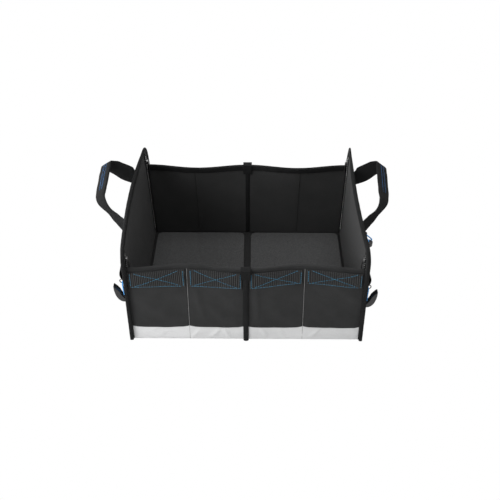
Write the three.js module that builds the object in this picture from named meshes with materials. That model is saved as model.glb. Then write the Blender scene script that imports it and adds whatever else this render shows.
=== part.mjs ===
// Collapsible car storage box: stiffened side panels, soft folding walls, two floor boards,
// webbing handles, corner zips, elastic side pockets and claw hooks. Millimetres, +Z up.
// X runs across the width and the pocketed front faces -Y. The origin is under the middle of the box.
import * as THREE from 'three';

// Clearances
const seamGap = 0.3; // between pieces sewn or laid face to face
const runningGap = 0.4; // between pieces that move on each other

// Side panels
const boxWidth = 500; // over the outer faces of the side panels
const panelDepth = 394;
const panelHeight = 271;
const panelThickness = 5;
const panelTopRadius = 24;
const panelFootRadius = 6;
const rimBow = { left: 9, right: -7 }; // how far each panel's top edge bulges outwards
const rimBowPower = 1.6; // how fast the bulge fades towards the floor
const footFlare = 11; // how far the front foot of each panel stands out
const bindingThickness = 1;
const bindingLegs = 9;

// Front and back walls
const wallHeight = panelHeight - 51;
const wallThickness = 4;
const frontWallFace = panelDepth / 2 - 9; // outer face of the front wall, from the middle of the box
const backWallFace = panelDepth / 2 - 19;
const frontFoldBow = 13; // how far the fold in each half leans in at the rim
const backFoldBow = 13;
const foldBowPower = 1.6;
const rimBindingThickness = 1;
const rimBindingDepth = 7;
const centreBindingWidth = 10;
const centreBindingDepth = 4.5;
const centreBindingClip = 1.4;
const tabWidth = 24;
const tabThickness = 1.6;
const tabDrop = 25;

// Outer fabric on the walls
const facingThickness = 1.6;
const kickBandHeight = 43;
const kickBandFoot = 2;
const pipingWidth = 3;
const ribbedBandHeight = 50;
const ribbedBandThickness = 1.2;
const ribDepth = 0.9;
const ribPitch = 7;
const bandSideMargin = 3;

// Floor
const sheetThickness = 2.4;
const foldRidgeWidth = 15;
const foldRidgeHeight = 1.6;
const boardThickness = 5;
const boardGap = 17; // between the two boards, over the fold
const boardEdge = boxWidth / 2 - 11; // outer edge of each board, from the middle of the box
const boardFront = frontWallFace - 8.5;
const boardBack = backWallFace - 8.5;
const boardCornerRadius = 14;
const boardEdgeRounding = 1.2;

// Handles: webbing folded in half at the grip
const handleRootHeight = panelHeight - 31;
const handleFrontRoot = 76; // the roots' and corners' distances from the panel's middle
const handleFrontCorner = 32;
const handleBackCorner = 93;
const handleBackRoot = 97;
const handleReach = { left: 77, right: 69 }; // from the sewn roots to the middle of the grip
const gripWidth = 25;
const gripThickness = 6;
const handleFrontRadius = 34;
const handleBackRadius = 17;
const handleEdgeCut = 0.22; // share of the webbing's section that its clipped corners take
const handleRootWidth = 2.4;
const handleTilt = 37; // degrees above level
const handleWidenOver = 42;

// Elastic side pockets
const pocketWidth = panelDepth - 94;
const pocketFoot = 30;
const pocketTop = wallHeight - 7;
const pocketBulge = { left: 12, right: 8 };
const pocketThickness = 1.4;
const pocketHem = 3.2;

// Corner zips
const zipInset = 8; // from the wall's inner face to the middle of the chain
const zipFoot = 14;
const zipTop = panelHeight - 13;
const zipToothPitch = 6;
const zipToothWidth = 5.6;
const zipWaistWidth = 4;
const zipThickness = 1.6;
const sliderWidth = 8;
const sliderLength = 12;
const sliderTaper = 0.55; // width of a slider's foot against its top
const sliderDepth = 2.6;
const sliderGap = 0.7; // between a slider and its chain
const sliderRest = panelHeight - 35; // height of each slider's middle with the zip closed
const pullLength = 26;
const pullWidth = 5;
const pullTaper = 0.8; // width of a pull's tip against its top
const pullThickness = 1.6;

// Claw hooks, their webbing and their elastic
const hookMiddle = panelDepth / 2 - 20; // distance of the hook set in front of the middle of the box
const anchorWidth = 18;
const anchorTop = panelHeight - 49;
const hookDrop = { left: 0, right: 14 }; // how much lower one set hangs
const anchorLength = 40;
const anchorBulge = 7;
const anchorThickness = 2;
const ringRadius = 5.5;
const ringWire = 1.1;
const hookFoot = anchorTop - 104;
const hookWidth = 13;
const hookRise = 43;
const hookReach = 21;
const hookThickness = 8;
const hookRounding = 1.2;
const keeperHeight = 12;
const keeperThickness = 1.8;
const elasticDiameter = 2.6;
const elasticBend = 5.2; // radius of an elastic's turn
const hookElasticFoot = 27; // height of the elastic's ends above the hook's foot
const hookElasticInset = 2.2;

// Drawcord and cord lock of the right pocket
const lockMiddle = -66; // along the depth of the box
const tabRingRadius = 3.8;
const tabEyeRadius = 2.2;
const drawTabWidth = 3;
const drawcordDrop = 22; // from the tab to the top of the lock
const drawcordSpread = 9; // between the strands at the lock
const lockLean = 12; // how far the stiff cord holds the lock out from under its tab
const lockTurn = 50; // degrees that the cord twists between the tab and the lock
const lockRadius = 7.2;
const lockLength = 13;
const lockWall = 1.3;
const lockDomeShare = 0.35; // height of the domed top against the radius
const lockEdge = 0.7; // chamfer at the foot of the lock and of its button
const lockButtonRadius = 4.6;
const lockButtonProud = 3.6;
const lockSpringWire = 0.7;
const lockSpringTurns = 2.5;
const lockSpringLength = 4.6;

// Colours and finishes
const clothBlack = { color: 0x17181a, roughness: 0.9, metalness: 0 };
const clothDark = { color: 0x202124, roughness: 0.95, metalness: 0 };
const feltGrey = { color: 0x37393b, roughness: 1, metalness: 0 };
const kickGrey = { color: 0xb9babb, roughness: 0.8, metalness: 0 };
const webbingBlack = { color: 0x131417, roughness: 0.85, metalness: 0 };
const webbingGrey = { color: 0xa9abad, roughness: 0.85, metalness: 0 };
const meshBlack = { color: 0x101113, roughness: 0.8, metalness: 0 };
const elasticBlue = { color: 0x2f86d6, roughness: 0.7, metalness: 0 };
const plasticBlack = { color: 0x0d0e10, roughness: 0.45, metalness: 0 };
const zipSilver = { color: 0xb8bcc2, roughness: 0.35, metalness: 0.9 };

const storageBox = new THREE.Group();
const sides = [
  { name: 'left', sign: -1 },
  { name: 'right', sign: 1 },
];

function addPiece(name, geometry, finish) {
  const piece = new THREE.Mesh(geometry, new THREE.MeshStandardMaterial(finish));
  piece.name = name;
  storageBox.add(piece);
  return piece;
}

function between(low, high, share) {
  return low + (high - low) * share;
}

function evenly(low, high, count) {
  return Array.from({ length: count + 1 }, (_, i) => between(low, high, i / count));
}

// Closes a list of points and triangles into a body whose faces point out
function closedBody(points, triangles) {
  const volume = triangles.reduce((sum, [a, b, c]) => {
    const normal = new THREE.Vector3().crossVectors(points[b], points[c]);
    return sum + points[a].dot(normal);
  }, 0);
  const faces = volume < 0 ? triangles.map(([a, b, c]) => [a, c, b]) : triangles;
  const geometry = new THREE.BufferGeometry().setFromPoints(points);
  geometry.setIndex(faces.flat());
  geometry.computeVertexNormals();
  return geometry;
}

// Lofts a closed outline through a row of rings: place(ring, corner) gives each point
function loftRings(ringCount, section, place) {
  const outline = THREE.ShapeUtils.isClockWise(section) ? [...section].reverse() : section;
  const points = [];
  const triangles = [];
  const size = outline.length;
  for (let ring = 0; ring < ringCount; ring += 1) {
    outline.forEach((corner) => points.push(place(ring, corner)));
  }
  for (let ring = 0; ring + 1 < ringCount; ring += 1) {
    for (let i = 0; i < size; i += 1) {
      const here = ring * size + i;
      const next = ring * size + ((i + 1) % size);
      triangles.push([here, next, next + size], [here, next + size, here + size]);
    }
  }
  const cap = THREE.ShapeUtils.triangulateShape(outline, []);
  const last = (ringCount - 1) * size;
  cap.forEach(([a, b, c]) => triangles.push([a, c, b], [last + a, last + b, last + c]));
  return closedBody(points, triangles);
}

// A sheet of even thickness: place(column, row, layer) gives each point, layer being -0.5 or 0.5
function sheetBody(columns, rows, place) {
  const points = [];
  const triangles = [];
  const index = (layer, row, column) => (layer * rows + row) * columns + column;
  [-0.5, 0.5].forEach((layer) => {
    for (let row = 0; row < rows; row += 1) {
      for (let column = 0; column < columns; column += 1) points.push(place(column, row, layer));
    }
  });
  const quad = (a, b, c, d) => triangles.push([a, b, c], [a, c, d]);
  for (let row = 0; row + 1 < rows; row += 1) {
    for (let column = 0; column + 1 < columns; column += 1) {
      quad(
        index(1, row, column), index(1, row, column + 1),
        index(1, row + 1, column + 1), index(1, row + 1, column),
      );
      quad(
        index(0, row, column), index(0, row + 1, column),
        index(0, row + 1, column + 1), index(0, row, column + 1),
      );
    }
  }
  for (let column = 0; column + 1 < columns; column += 1) {
    quad(index(0, 0, column), index(0, 0, column + 1), index(1, 0, column + 1), index(1, 0, column));
    const top = rows - 1;
    quad(
      index(0, top, column), index(1, top, column),
      index(1, top, column + 1), index(0, top, column + 1),
    );
  }
  for (let row = 0; row + 1 < rows; row += 1) {
    quad(index(0, row, 0), index(1, row, 0), index(1, row + 1, 0), index(0, row + 1, 0));
    const end = columns - 1;
    quad(
      index(0, row, end), index(0, row + 1, end),
      index(1, row + 1, end), index(1, row, end),
    );
  }
  return closedBody(points, triangles);
}

// A rectangle with clipped corners, as an outline to loft
function clippedOutline(width, height, clip) {
  const w = width / 2;
  const h = height / 2;
  return [
    [-w + clip, -h], [w - clip, -h], [w, -h + clip], [w, h - clip],
    [w - clip, h], [-w + clip, h], [-w, h - clip], [-w, -h + clip],
  ].map(([x, y]) => new THREE.Vector2(x, y));
}

// Middle of a side panel's thickness, as a distance from the middle of the box
function panelMiddle(side, y, z) {
  const rise = Math.max(0, z) / panelHeight;
  const towardsFront = Math.max(0, -y / (panelDepth / 2));
  const bow = rimBow[side.name] * rise ** rimBowPower * Math.cos((Math.PI / 2) * (y / (panelDepth / 2)));
  const flare = footFlare * towardsFront ** 2 * (1 - rise);
  return boxWidth / 2 - panelThickness / 2 + bow + flare;
}

function panelPoint(side, y, z, proud) {
  return new THREE.Vector3(side.sign * (panelMiddle(side, y, z) + proud), y, z);
}

// Half-depth of a panel at each height, with round corners at the foot and the top
function panelLevels() {
  const half = panelDepth / 2;
  const steps = 6;
  const foot = Array.from({ length: 4 }, (_, i) => {
    const angle = (Math.PI / 2) * (i / 3);
    return {
      z: panelFootRadius * (1 - Math.cos(angle)),
      half: half - panelFootRadius * (1 - Math.sin(angle)),
    };
  });
  const middle = evenly(panelFootRadius, panelHeight - panelTopRadius, 9).slice(1);
  const top = Array.from({ length: steps }, (_, i) => {
    const angle = (Math.PI / 2) * ((i + 1) / steps);
    return {
      z: panelHeight - panelTopRadius * (1 - Math.sin(angle)),
      half: half - panelTopRadius * (1 - Math.cos(angle)),
    };
  });
  return [...foot, ...middle.map((z) => ({ z, half })), ...top];
}

function addSidePanels() {
  const levels = panelLevels();
  const columns = 15;
  sides.forEach((side) => {
    const panel = sheetBody(columns, levels.length, (column, row, layer) => {
      const { z, half } = levels[row];
      const y = between(-half, half, column / (columns - 1));
      return panelPoint(side, y, z, layer * panelThickness);
    });
    addPiece(`side_panel_${side.name}`, panel, clothBlack);
  });
}

// Path round the front, top and back edges of a panel, with the inward direction at each point
function panelEdgePath() {
  const half = panelDepth / 2;
  const low = panelFootRadius + 2;
  const high = panelHeight - panelTopRadius;
  const corner = (sign) => evenly(0, Math.PI / 2, 6).map((angle) => ({
    y: sign * (half - panelTopRadius * (1 - Math.cos(angle))),
    z: high + panelTopRadius * Math.sin(angle),
    inY: -sign * Math.cos(angle),
    inZ: -Math.sin(angle),
  }));
  const front = evenly(low, high, 9).slice(0, -1).map((z) => ({ y: -half, z, inY: 1, inZ: 0 }));
  const inner = half - panelTopRadius;
  const top = evenly(-inner, inner, 14).slice(1, -1).map((y) => ({ y, z: panelHeight, inY: 0, inZ: -1 }));
  const back = evenly(high, low, 9).slice(1).map((z) => ({ y: half, z, inY: -1, inZ: 0 }));
  return [...front, ...corner(-1), ...top, ...corner(1).reverse(), ...back];
}

function addSideBindings() {
  const path = panelEdgePath();
  const inner = panelThickness / 2 + seamGap;
  const outer = inner + bindingThickness;
  const outline = [
    [-seamGap - bindingThickness, -outer + bindingThickness], [-seamGap, -outer], [bindingLegs, -outer],
    [bindingLegs, -inner], [-seamGap, -inner], [-seamGap, inner], [bindingLegs, inner],
    [bindingLegs, outer], [-seamGap, outer], [-seamGap - bindingThickness, outer - bindingThickness],
  ].map(([x, y]) => new THREE.Vector2(x, y));
  sides.forEach((side) => {
    const tape = loftRings(path.length, outline, (ring, corner) => {
      const { y, z, inY, inZ } = path[ring];
      return panelPoint(side, y + corner.x * inY, z + corner.x * inZ, corner.y);
    });
    addPiece(`side_binding_${side.name}`, tape, webbingBlack);
  });
}

// The two walls: facing is the direction each one looks, from the middle of the box
const walls = [
  { name: 'front', facing: -1, face: frontWallFace, bow: frontFoldBow },
  { name: 'back', facing: 1, face: backWallFace, bow: backFoldBow },
];

// Where a wall meets the inner face of a side panel
function wallReach(side, wall, z) {
  const y = wall.facing * wall.face;
  return panelMiddle(side, y, z) - panelThickness / 2 - bindingThickness - 2 * seamGap;
}

// How far a wall leans in, most at the fold in the middle of each half
function wallLean(wall, share, z) {
  const atFold = wall.bow * (Math.max(0, z) / wallHeight) ** foldBowPower;
  return (atFold * (1 - Math.cos(2 * Math.PI * share))) / 2;
}

// A point on a wall: share runs from the middle of the box to the side panel, proud from the outer face
function wallPoint(side, wall, share, z, proud) {
  const y = wall.facing * (wall.face - wallLean(wall, share, z) + proud);
  return new THREE.Vector3(side.sign * share * wallReach(side, wall, z), y, z);
}

function shareAt(side, wall, x) {
  return x / wallReach(side, wall, 0);
}

const wallLevels = evenly(0, wallHeight, 7);

function addWalls() {
  walls.forEach((wall) => {
    sides.forEach((side) => {
      const shares = evenly(shareAt(side, wall, seamGap / 2), 1, 16);
      const half = sheetBody(shares.length, wallLevels.length, (column, row, layer) => (
        wallPoint(side, wall, shares[column], wallLevels[row], (layer - 0.5) * wallThickness)
      ));
      addPiece(`${wall.name}_wall_${side.name}`, half, clothBlack);
    });
  });
}

// A folded tape over the rim of a whole wall
function addRimBindings() {
  const inner = wallThickness / 2 + seamGap;
  const outer = inner + rimBindingThickness;
  const outline = [
    [-rimBindingDepth, -outer], [-rimBindingDepth, -inner], [seamGap, -inner], [seamGap, inner],
    [-rimBindingDepth, inner], [-rimBindingDepth, outer], [seamGap, outer],
    [seamGap + rimBindingThickness, outer - rimBindingThickness],
    [seamGap + rimBindingThickness, rimBindingThickness - outer], [seamGap, -outer],
  ].map(([x, y]) => new THREE.Vector2(x, y));
  const spans = [
    ...evenly(1, 0, 16).slice(0, -1).map((share) => ({ side: sides[0], share })),
    ...evenly(0, 1, 16).map((share) => ({ side: sides[1], share })),
  ];
  walls.forEach((wall) => {
    const tape = loftRings(spans.length, outline, (ring, corner) => {
      const { side, share } = spans[ring];
      return wallPoint(side, wall, share, wallHeight + corner.x, corner.y - wallThickness / 2);
    });
    addPiece(`${wall.name}_rim_binding`, tape, webbingBlack);
  });
}

// The strip that joins the two halves of each wall, over the kick bands at its foot
function addCentreBindings() {
  const standOff = facingThickness + 2 * seamGap;
  const outline = clippedOutline(centreBindingWidth, centreBindingDepth, centreBindingClip);
  const top = wallHeight - rimBindingDepth - seamGap;
  walls.forEach((wall) => {
    const strip = loftRings(2, outline, (ring, corner) => new THREE.Vector3(
      corner.x,
      wall.facing * (wall.face + standOff + centreBindingDepth / 2 + corner.y),
      [0, top][ring],
    ));
    addPiece(`${wall.name}_centre_binding`, strip, webbingBlack);
  });
}

// Webbing folded over the rim where the halves meet
function addRimTabs() {
  const outside = facingThickness + 3 * seamGap + centreBindingDepth;
  const roof = wallHeight + seamGap + rimBindingThickness + seamGap;
  walls.forEach((wall) => {
    const outerFace = wall.face + outside;
    const lean = wallLean(wall, shareAt(sides[0], wall, tabWidth / 2), wallHeight + rimBindingThickness);
    const innerFace = wall.face - wallThickness - rimBindingThickness - 2 * seamGap - lean;
    const profile = [
      [outerFace, roof - tabDrop], [outerFace, roof], [innerFace, roof], [innerFace, roof - tabDrop],
      [innerFace - tabThickness, roof - tabDrop], [innerFace - tabThickness, roof + tabThickness / 2],
      [innerFace - tabThickness / 2, roof + tabThickness],
      [outerFace + tabThickness / 2, roof + tabThickness],
      [outerFace + tabThickness, roof + tabThickness / 2], [outerFace + tabThickness, roof - tabDrop],
    ].map(([x, y]) => new THREE.Vector2(x, y));
    const tab = loftRings(2, profile, (ring, corner) => new THREE.Vector3(
      [-tabWidth / 2, tabWidth / 2][ring],
      wall.facing * corner.x,
      corner.y,
    ));
    addPiece(`${wall.name}_rim_tab`, tab, webbingBlack);
  });
}

// Quarters of the front wall, from the left end to the right
const foldShare = 0.5;
const frontWall = walls[0];
function frontQuarters() {
  const centreEdge = centreBindingWidth / 2 + seamGap;
  const foldEdge = pipingWidth / 2;
  return sides.flatMap((side) => {
    const reach = wallReach(side, frontWall, 0);
    const foldMargin = foldEdge / reach;
    const quarters = [
      { side, from: foldShare + foldMargin, to: 1 },
      { side, from: centreEdge / reach, to: foldShare - foldMargin },
    ];
    return side.sign < 0 ? quarters : quarters.reverse();
  });
}

function addFacings() {
  const levels = evenly(kickBandFoot + kickBandHeight + seamGap, wallHeight - rimBindingDepth - seamGap, 5);
  frontQuarters().forEach(({ side, from, to }, index) => {
    const shares = evenly(from, to, 8);
    const facing = sheetBody(shares.length, levels.length, (column, row, layer) => (
      wallPoint(side, frontWall, shares[column], levels[row], seamGap + (layer + 0.5) * facingThickness)
    ));
    addPiece(`front_facing_${index + 1}`, facing, clothBlack);
  });
}

// Webbing bands across the top of each quarter, with upright ribs
function addRibbedBands() {
  const top = wallHeight - rimBindingDepth - seamGap;
  const levels = [top - ribbedBandHeight, top];
  const base = 2 * seamGap + facingThickness;
  frontQuarters().forEach(({ side, from, to }, index) => {
    const reach = wallReach(side, frontWall, 0);
    const margin = bandSideMargin / reach;
    const ribs = Math.round(((to - from - 2 * margin) * reach) / ribPitch);
    const shares = evenly(from + margin, to - margin, ribs * 2);
    const band = sheetBody(shares.length, levels.length, (column, row, layer) => {
      const rib = layer > 0 && column % 2 === 1 ? ribDepth : 0;
      const proud = base + (layer + 0.5) * ribbedBandThickness + rib;
      return wallPoint(side, frontWall, shares[column], levels[row], proud);
    });
    addPiece(`front_band_${index + 1}`, band, clothDark);
  });
}

function addKickBands() {
  const levels = [kickBandFoot, kickBandFoot + kickBandHeight];
  const place = (spans, wall) => (column, row, layer) => {
    const { side, share } = spans[column];
    return wallPoint(side, wall, share, levels[row], seamGap + (layer + 0.5) * facingThickness);
  };
  sides.forEach((side) => {
    const shares = evenly(shareAt(side, frontWall, seamGap / 2), 1, 16);
    const spans = shares.map((share) => ({ side, share }));
    addPiece(`kick_band_front_${side.name}`, sheetBody(spans.length, 2, place(spans, frontWall)), kickGrey);
  });
  const across = [
    ...evenly(1, 0, 16).slice(0, -1).map((share) => ({ side: sides[0], share })),
    ...evenly(0, 1, 16).map((share) => ({ side: sides[1], share })),
  ];
  addPiece('kick_band_back', sheetBody(across.length, 2, place(across, walls[1])), kickGrey);
}

// Fabric floor between the walls, with the raised fold down its middle
function addBaseSheet() {
  const frontEdge = frontWallFace - wallThickness - seamGap;
  const backEdge = backWallFace - wallThickness - seamGap;
  const depths = evenly(-frontEdge, backEdge, 8);
  const ridge = foldRidgeWidth / 2;
  const slope = foldRidgeHeight;
  const edge = (side, y) => panelMiddle(side, y, 0) - panelThickness / 2 - bindingThickness - 2 * seamGap;
  const places = [
    { share: -1 }, { share: -0.5 }, { x: -ridge - slope, share: 0 }, { x: -ridge, ridge: true },
    { x: 0, ridge: true }, { x: ridge, ridge: true }, { x: ridge + slope, share: 0 },
    { share: 0.5 }, { share: 1 },
  ];
  const sheet = sheetBody(places.length, depths.length, (column, row, layer) => {
    const place = places[column];
    const y = depths[row];
    const side = (place.share ?? 0) < 0 ? sides[0] : sides[1];
    const x = place.x ?? place.share * edge(side, y);
    const top = sheetThickness + (place.ridge ? foldRidgeHeight : 0);
    return new THREE.Vector3(x, y, layer > 0 ? top : 0);
  });
  addPiece('base_sheet', sheet, clothDark);
}

const boardFoot = sheetThickness + seamGap;
function addFloorBoards() {
  const width = boardEdge - boardGap / 2;
  const depth = boardFront + boardBack;
  const shape = new THREE.Shape();
  const r = boardCornerRadius;
  const inset = boardEdgeRounding;
  const w = width / 2 - inset;
  const d = depth / 2 - inset;
  shape.moveTo(-w + r, -d);
  shape.lineTo(w - r, -d);
  shape.absarc(w - r, -d + r, r, -Math.PI / 2, 0);
  shape.lineTo(w, d - r);
  shape.absarc(w - r, d - r, r, 0, Math.PI / 2);
  shape.lineTo(-w + r, d);
  shape.absarc(-w + r, d - r, r, Math.PI / 2, Math.PI);
  shape.lineTo(-w, -d + r);
  shape.absarc(-w + r, -d + r, r, Math.PI, 1.5 * Math.PI);
  sides.forEach((side) => {
    const board = new THREE.ExtrudeGeometry(shape, {
      depth: boardThickness - 2 * inset,
      bevelThickness: inset,
      bevelSize: inset,
      bevelSegments: 2,
      curveSegments: 6,
    });
    const piece = addPiece(`floor_board_${side.name}`, board, feltGrey);
    const middle = boardGap / 2 + width / 2;
    piece.position.set(side.sign * middle, (boardBack - boardFront) / 2, boardFoot + inset);
  });
}

// Carrying handles: one loop of webbing each, tilted up and out from the sewn roots
function panelFace(side, y, z) {
  return panelMiddle(side, y, z) + panelThickness / 2;
}

// A handle's middle line from above, as reach from the roots and depth
function handleRoute(side) {
  const reach = handleReach[side.name];
  const corner = (rootDepth, cornerDepth, radius) => {
    const peak = new THREE.Vector2(reach, cornerDepth);
    const arm = new THREE.Vector2(0, rootDepth);
    const armEnd = peak.clone().add(arm.clone().sub(peak).setLength(radius));
    const gripEnd = new THREE.Vector2(reach, cornerDepth - Math.sign(cornerDepth) * radius);
    return [
      ...new THREE.LineCurve(arm, armEnd).getPoints(6),
      ...new THREE.QuadraticBezierCurve(armEnd, peak, gripEnd).getPoints(7).slice(1),
    ];
  };
  const front = corner(-handleFrontRoot, -handleFrontCorner, handleFrontRadius);
  const back = corner(handleBackRoot, handleBackCorner, handleBackRadius);
  const grip = new THREE.LineCurve(back.at(-1), front.at(-1)).getPoints(6).slice(1, -1);
  return [...back, ...grip, ...front.reverse()];
}

function addHandles() {
  const outline = clippedOutline(1, 1, handleEdgeCut);
  const tilt = THREE.MathUtils.degToRad(handleTilt);
  sides.forEach((side) => {
    const route = handleRoute(side);
    const geometry = loftRings(route.length, outline, (ring, corner) => {
      const here = route[ring];
      const before = route[Math.max(0, ring - 1)];
      const after = route[Math.min(route.length - 1, ring + 1)];
      const along = after.clone().sub(before).normalize();
      const spread = Math.min(1, Math.max(0, here.x) / handleWidenOver);
      const width = between(handleRootWidth, gripWidth, spread);
      const thickness = between(gripThickness / 2, gripThickness, spread);
      const reach = here.x - along.y * corner.x * thickness;
      const depth = here.y + along.x * corner.x * thickness;
      const lift = corner.y * width;
      return new THREE.Vector3(
        side.sign * (reach * Math.cos(tilt) - lift * Math.sin(tilt)),
        depth,
        reach * Math.sin(tilt) + lift * Math.cos(tilt),
      );
    });
    const handle = addPiece(`handle_${side.name}`, geometry, webbingBlack);
    handle.position.set(side.sign * handlePivot(side), 0, handleRootHeight);
  });
}

function handlePivot(side) {
  const furthest = Math.max(
    panelFace(side, handleBackRoot, handleRootHeight),
    panelFace(side, -handleFrontRoot, handleRootHeight),
  );
  return furthest + seamGap + handleRootWidth / 2;
}

// Inner face of a pocket, from the middle of its panel's thickness
function pocketStandOff(side, y, z) {
  const across = Math.max(0, Math.cos((Math.PI / 2) * (y / (pocketWidth / 2)))) ** 0.6;
  const up = Math.min(1, (z - pocketFoot) / (pocketTop - pocketFoot)) ** 0.7;
  return panelThickness / 2 + seamGap + pocketBulge[side.name] * across * up;
}

// Elastic pockets on the outer faces: sewn down at the foot and ends, standing off at the mouth
function addSidePockets() {
  const depths = evenly(-pocketWidth / 2, pocketWidth / 2, 16);
  const levels = [...evenly(pocketFoot, pocketTop, 8), pocketTop + pocketHem];
  sides.forEach((side) => {
    const pocket = sheetBody(depths.length, levels.length, (column, row, layer) => {
      const y = depths[column];
      const z = levels[row];
      const thickness = row >= levels.length - 2 ? pocketHem : pocketThickness;
      return panelPoint(side, y, z, pocketStandOff(side, y, z) + (layer + 0.5) * thickness);
    });
    addPiece(`side_pocket_${side.name}`, pocket, meshBlack);
  });
}

// Corner zips on the inner faces of the panels, in front of the walls' ends
function zipPlace(wall) {
  const wallInner = wall.face - wallThickness;
  return wall.facing * (wallInner - seamGap - zipInset);
}

function addZips() {
  const teeth = Math.floor((zipTop - zipFoot) / zipToothPitch);
  const outline = [[-0.5, -0.5], [0.5, -0.5], [0.5, 0.5], [-0.5, 0.5]].map(([x, y]) => (
    new THREE.Vector2(x, y * zipThickness)
  ));
  walls.forEach((wall) => {
    sides.forEach((side) => {
      const chain = loftRings(teeth * 2 + 1, outline, (ring, corner) => {
        const z = zipFoot + (ring * zipToothPitch) / 2;
        const width = ring % 2 === 0 ? zipWaistWidth : zipToothWidth;
        const y = zipPlace(wall) + corner.x * width;
        const proud = -panelThickness / 2 - seamGap - zipThickness / 2 + corner.y;
        return panelPoint(side, y, z, proud);
      });
      addPiece(`zip_chain_${wall.name}_${side.name}`, chain, zipSilver);
    });
  });
}

function addZipSliders() {
  const shape = new THREE.Shape();
  const w = sliderWidth / 2;
  const l = sliderLength / 2;
  shape.moveTo(-w, l);
  shape.lineTo(-w * sliderTaper, -l);
  shape.lineTo(w * sliderTaper, -l);
  shape.lineTo(w, l);
  shape.quadraticCurveTo(0, l + w / 2, -w, l);
  const pullShape = new THREE.Shape();
  const p = pullWidth / 2;
  pullShape.absarc(0, 0, p, 0, Math.PI);
  pullShape.lineTo(-p * pullTaper, -pullLength + p);
  pullShape.absarc(0, -pullLength + p, p * pullTaper, Math.PI, 2 * Math.PI);
  walls.forEach((wall) => {
    sides.forEach((side) => {
      const y = zipPlace(wall);
      const chain = panelMiddle(side, y, sliderRest) - panelThickness / 2 - seamGap - zipThickness;
      const face = chain - sliderGap;
      const toRow = new THREE.Matrix4().makeBasis(
        new THREE.Vector3(0, -side.sign, 0), new THREE.Vector3(0, 0, 1), new THREE.Vector3(-side.sign, 0, 0),
      );
      const body = new THREE.ExtrudeGeometry(shape, {
        depth: sliderDepth,
        bevelEnabled: false,
        curveSegments: 6,
      });
      body.applyMatrix4(toRow);
      const slider = addPiece(`zip_slider_${wall.name}_${side.name}`, body, zipSilver);
      slider.position.set(side.sign * face, y, sliderRest);
      const tag = new THREE.ExtrudeGeometry(pullShape, {
        depth: pullThickness,
        bevelEnabled: false,
        curveSegments: 6,
      });
      tag.applyMatrix4(toRow);
      const pull = addPiece(`zip_pull_${wall.name}_${side.name}`, tag, plasticBlack);
      pull.position.set(side.sign * (face - sliderDepth - runningGap), y, sliderRest);
    });
  });
}

// Claw hooks at the front edge of each panel, each on an elastic that hangs from a webbing anchor
function addHookAnchors() {
  const strapOutline = clippedOutline(anchorWidth, anchorThickness, anchorThickness / 5);
  sides.forEach((side) => {
    const top = anchorTop - hookDrop[side.name];
    const heights = evenly(top - anchorLength, top, 10);
    const foot = hookFoot - hookDrop[side.name];
    const keeperLevels = [foot - keeperHeight / 4, foot + (3 * keeperHeight) / 4];
    const strap = loftRings(heights.length, strapOutline, (ring, corner) => {
      const bulge = anchorBulge * Math.sin((Math.PI * ring) / (heights.length - 1)) ** 0.8;
      const proud = panelThickness / 2 + seamGap + anchorThickness / 2 + bulge;
      return panelPoint(side, corner.x - hookMiddle, heights[ring], proud + corner.y);
    });
    addPiece(`hook_anchor_${side.name}`, strap, webbingBlack);
    const keeper = sheetBody(3, 2, (column, row, layer) => {
      const y = between(-anchorWidth / 2, anchorWidth / 2, column / 2) - hookMiddle;
      const proud = panelThickness / 2 + seamGap + (layer + 0.5) * keeperThickness;
      return panelPoint(side, y, keeperLevels[row], proud);
    });
    addPiece(`hook_keeper_${side.name}`, keeper, webbingGrey);
  });
}

// Middle of each small ring, resting against the panel under its anchor
function ringPlace(side) {
  const anchorFoot = anchorTop - anchorLength - hookDrop[side.name];
  const z = anchorFoot - seamGap - ringWire - ringRadius;
  return { x: panelFace(side, -hookMiddle, z) + seamGap + ringWire + ringRadius, z };
}

function hookFace(side) {
  const foot = hookFoot - hookDrop[side.name];
  const heights = [foot - keeperHeight / 4, foot + keeperHeight];
  const furthest = Math.max(...heights.map((z) => panelFace(side, -hookMiddle - hookWidth / 2, z)));
  return furthest + 2 * seamGap + keeperThickness + hookRounding;
}

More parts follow.
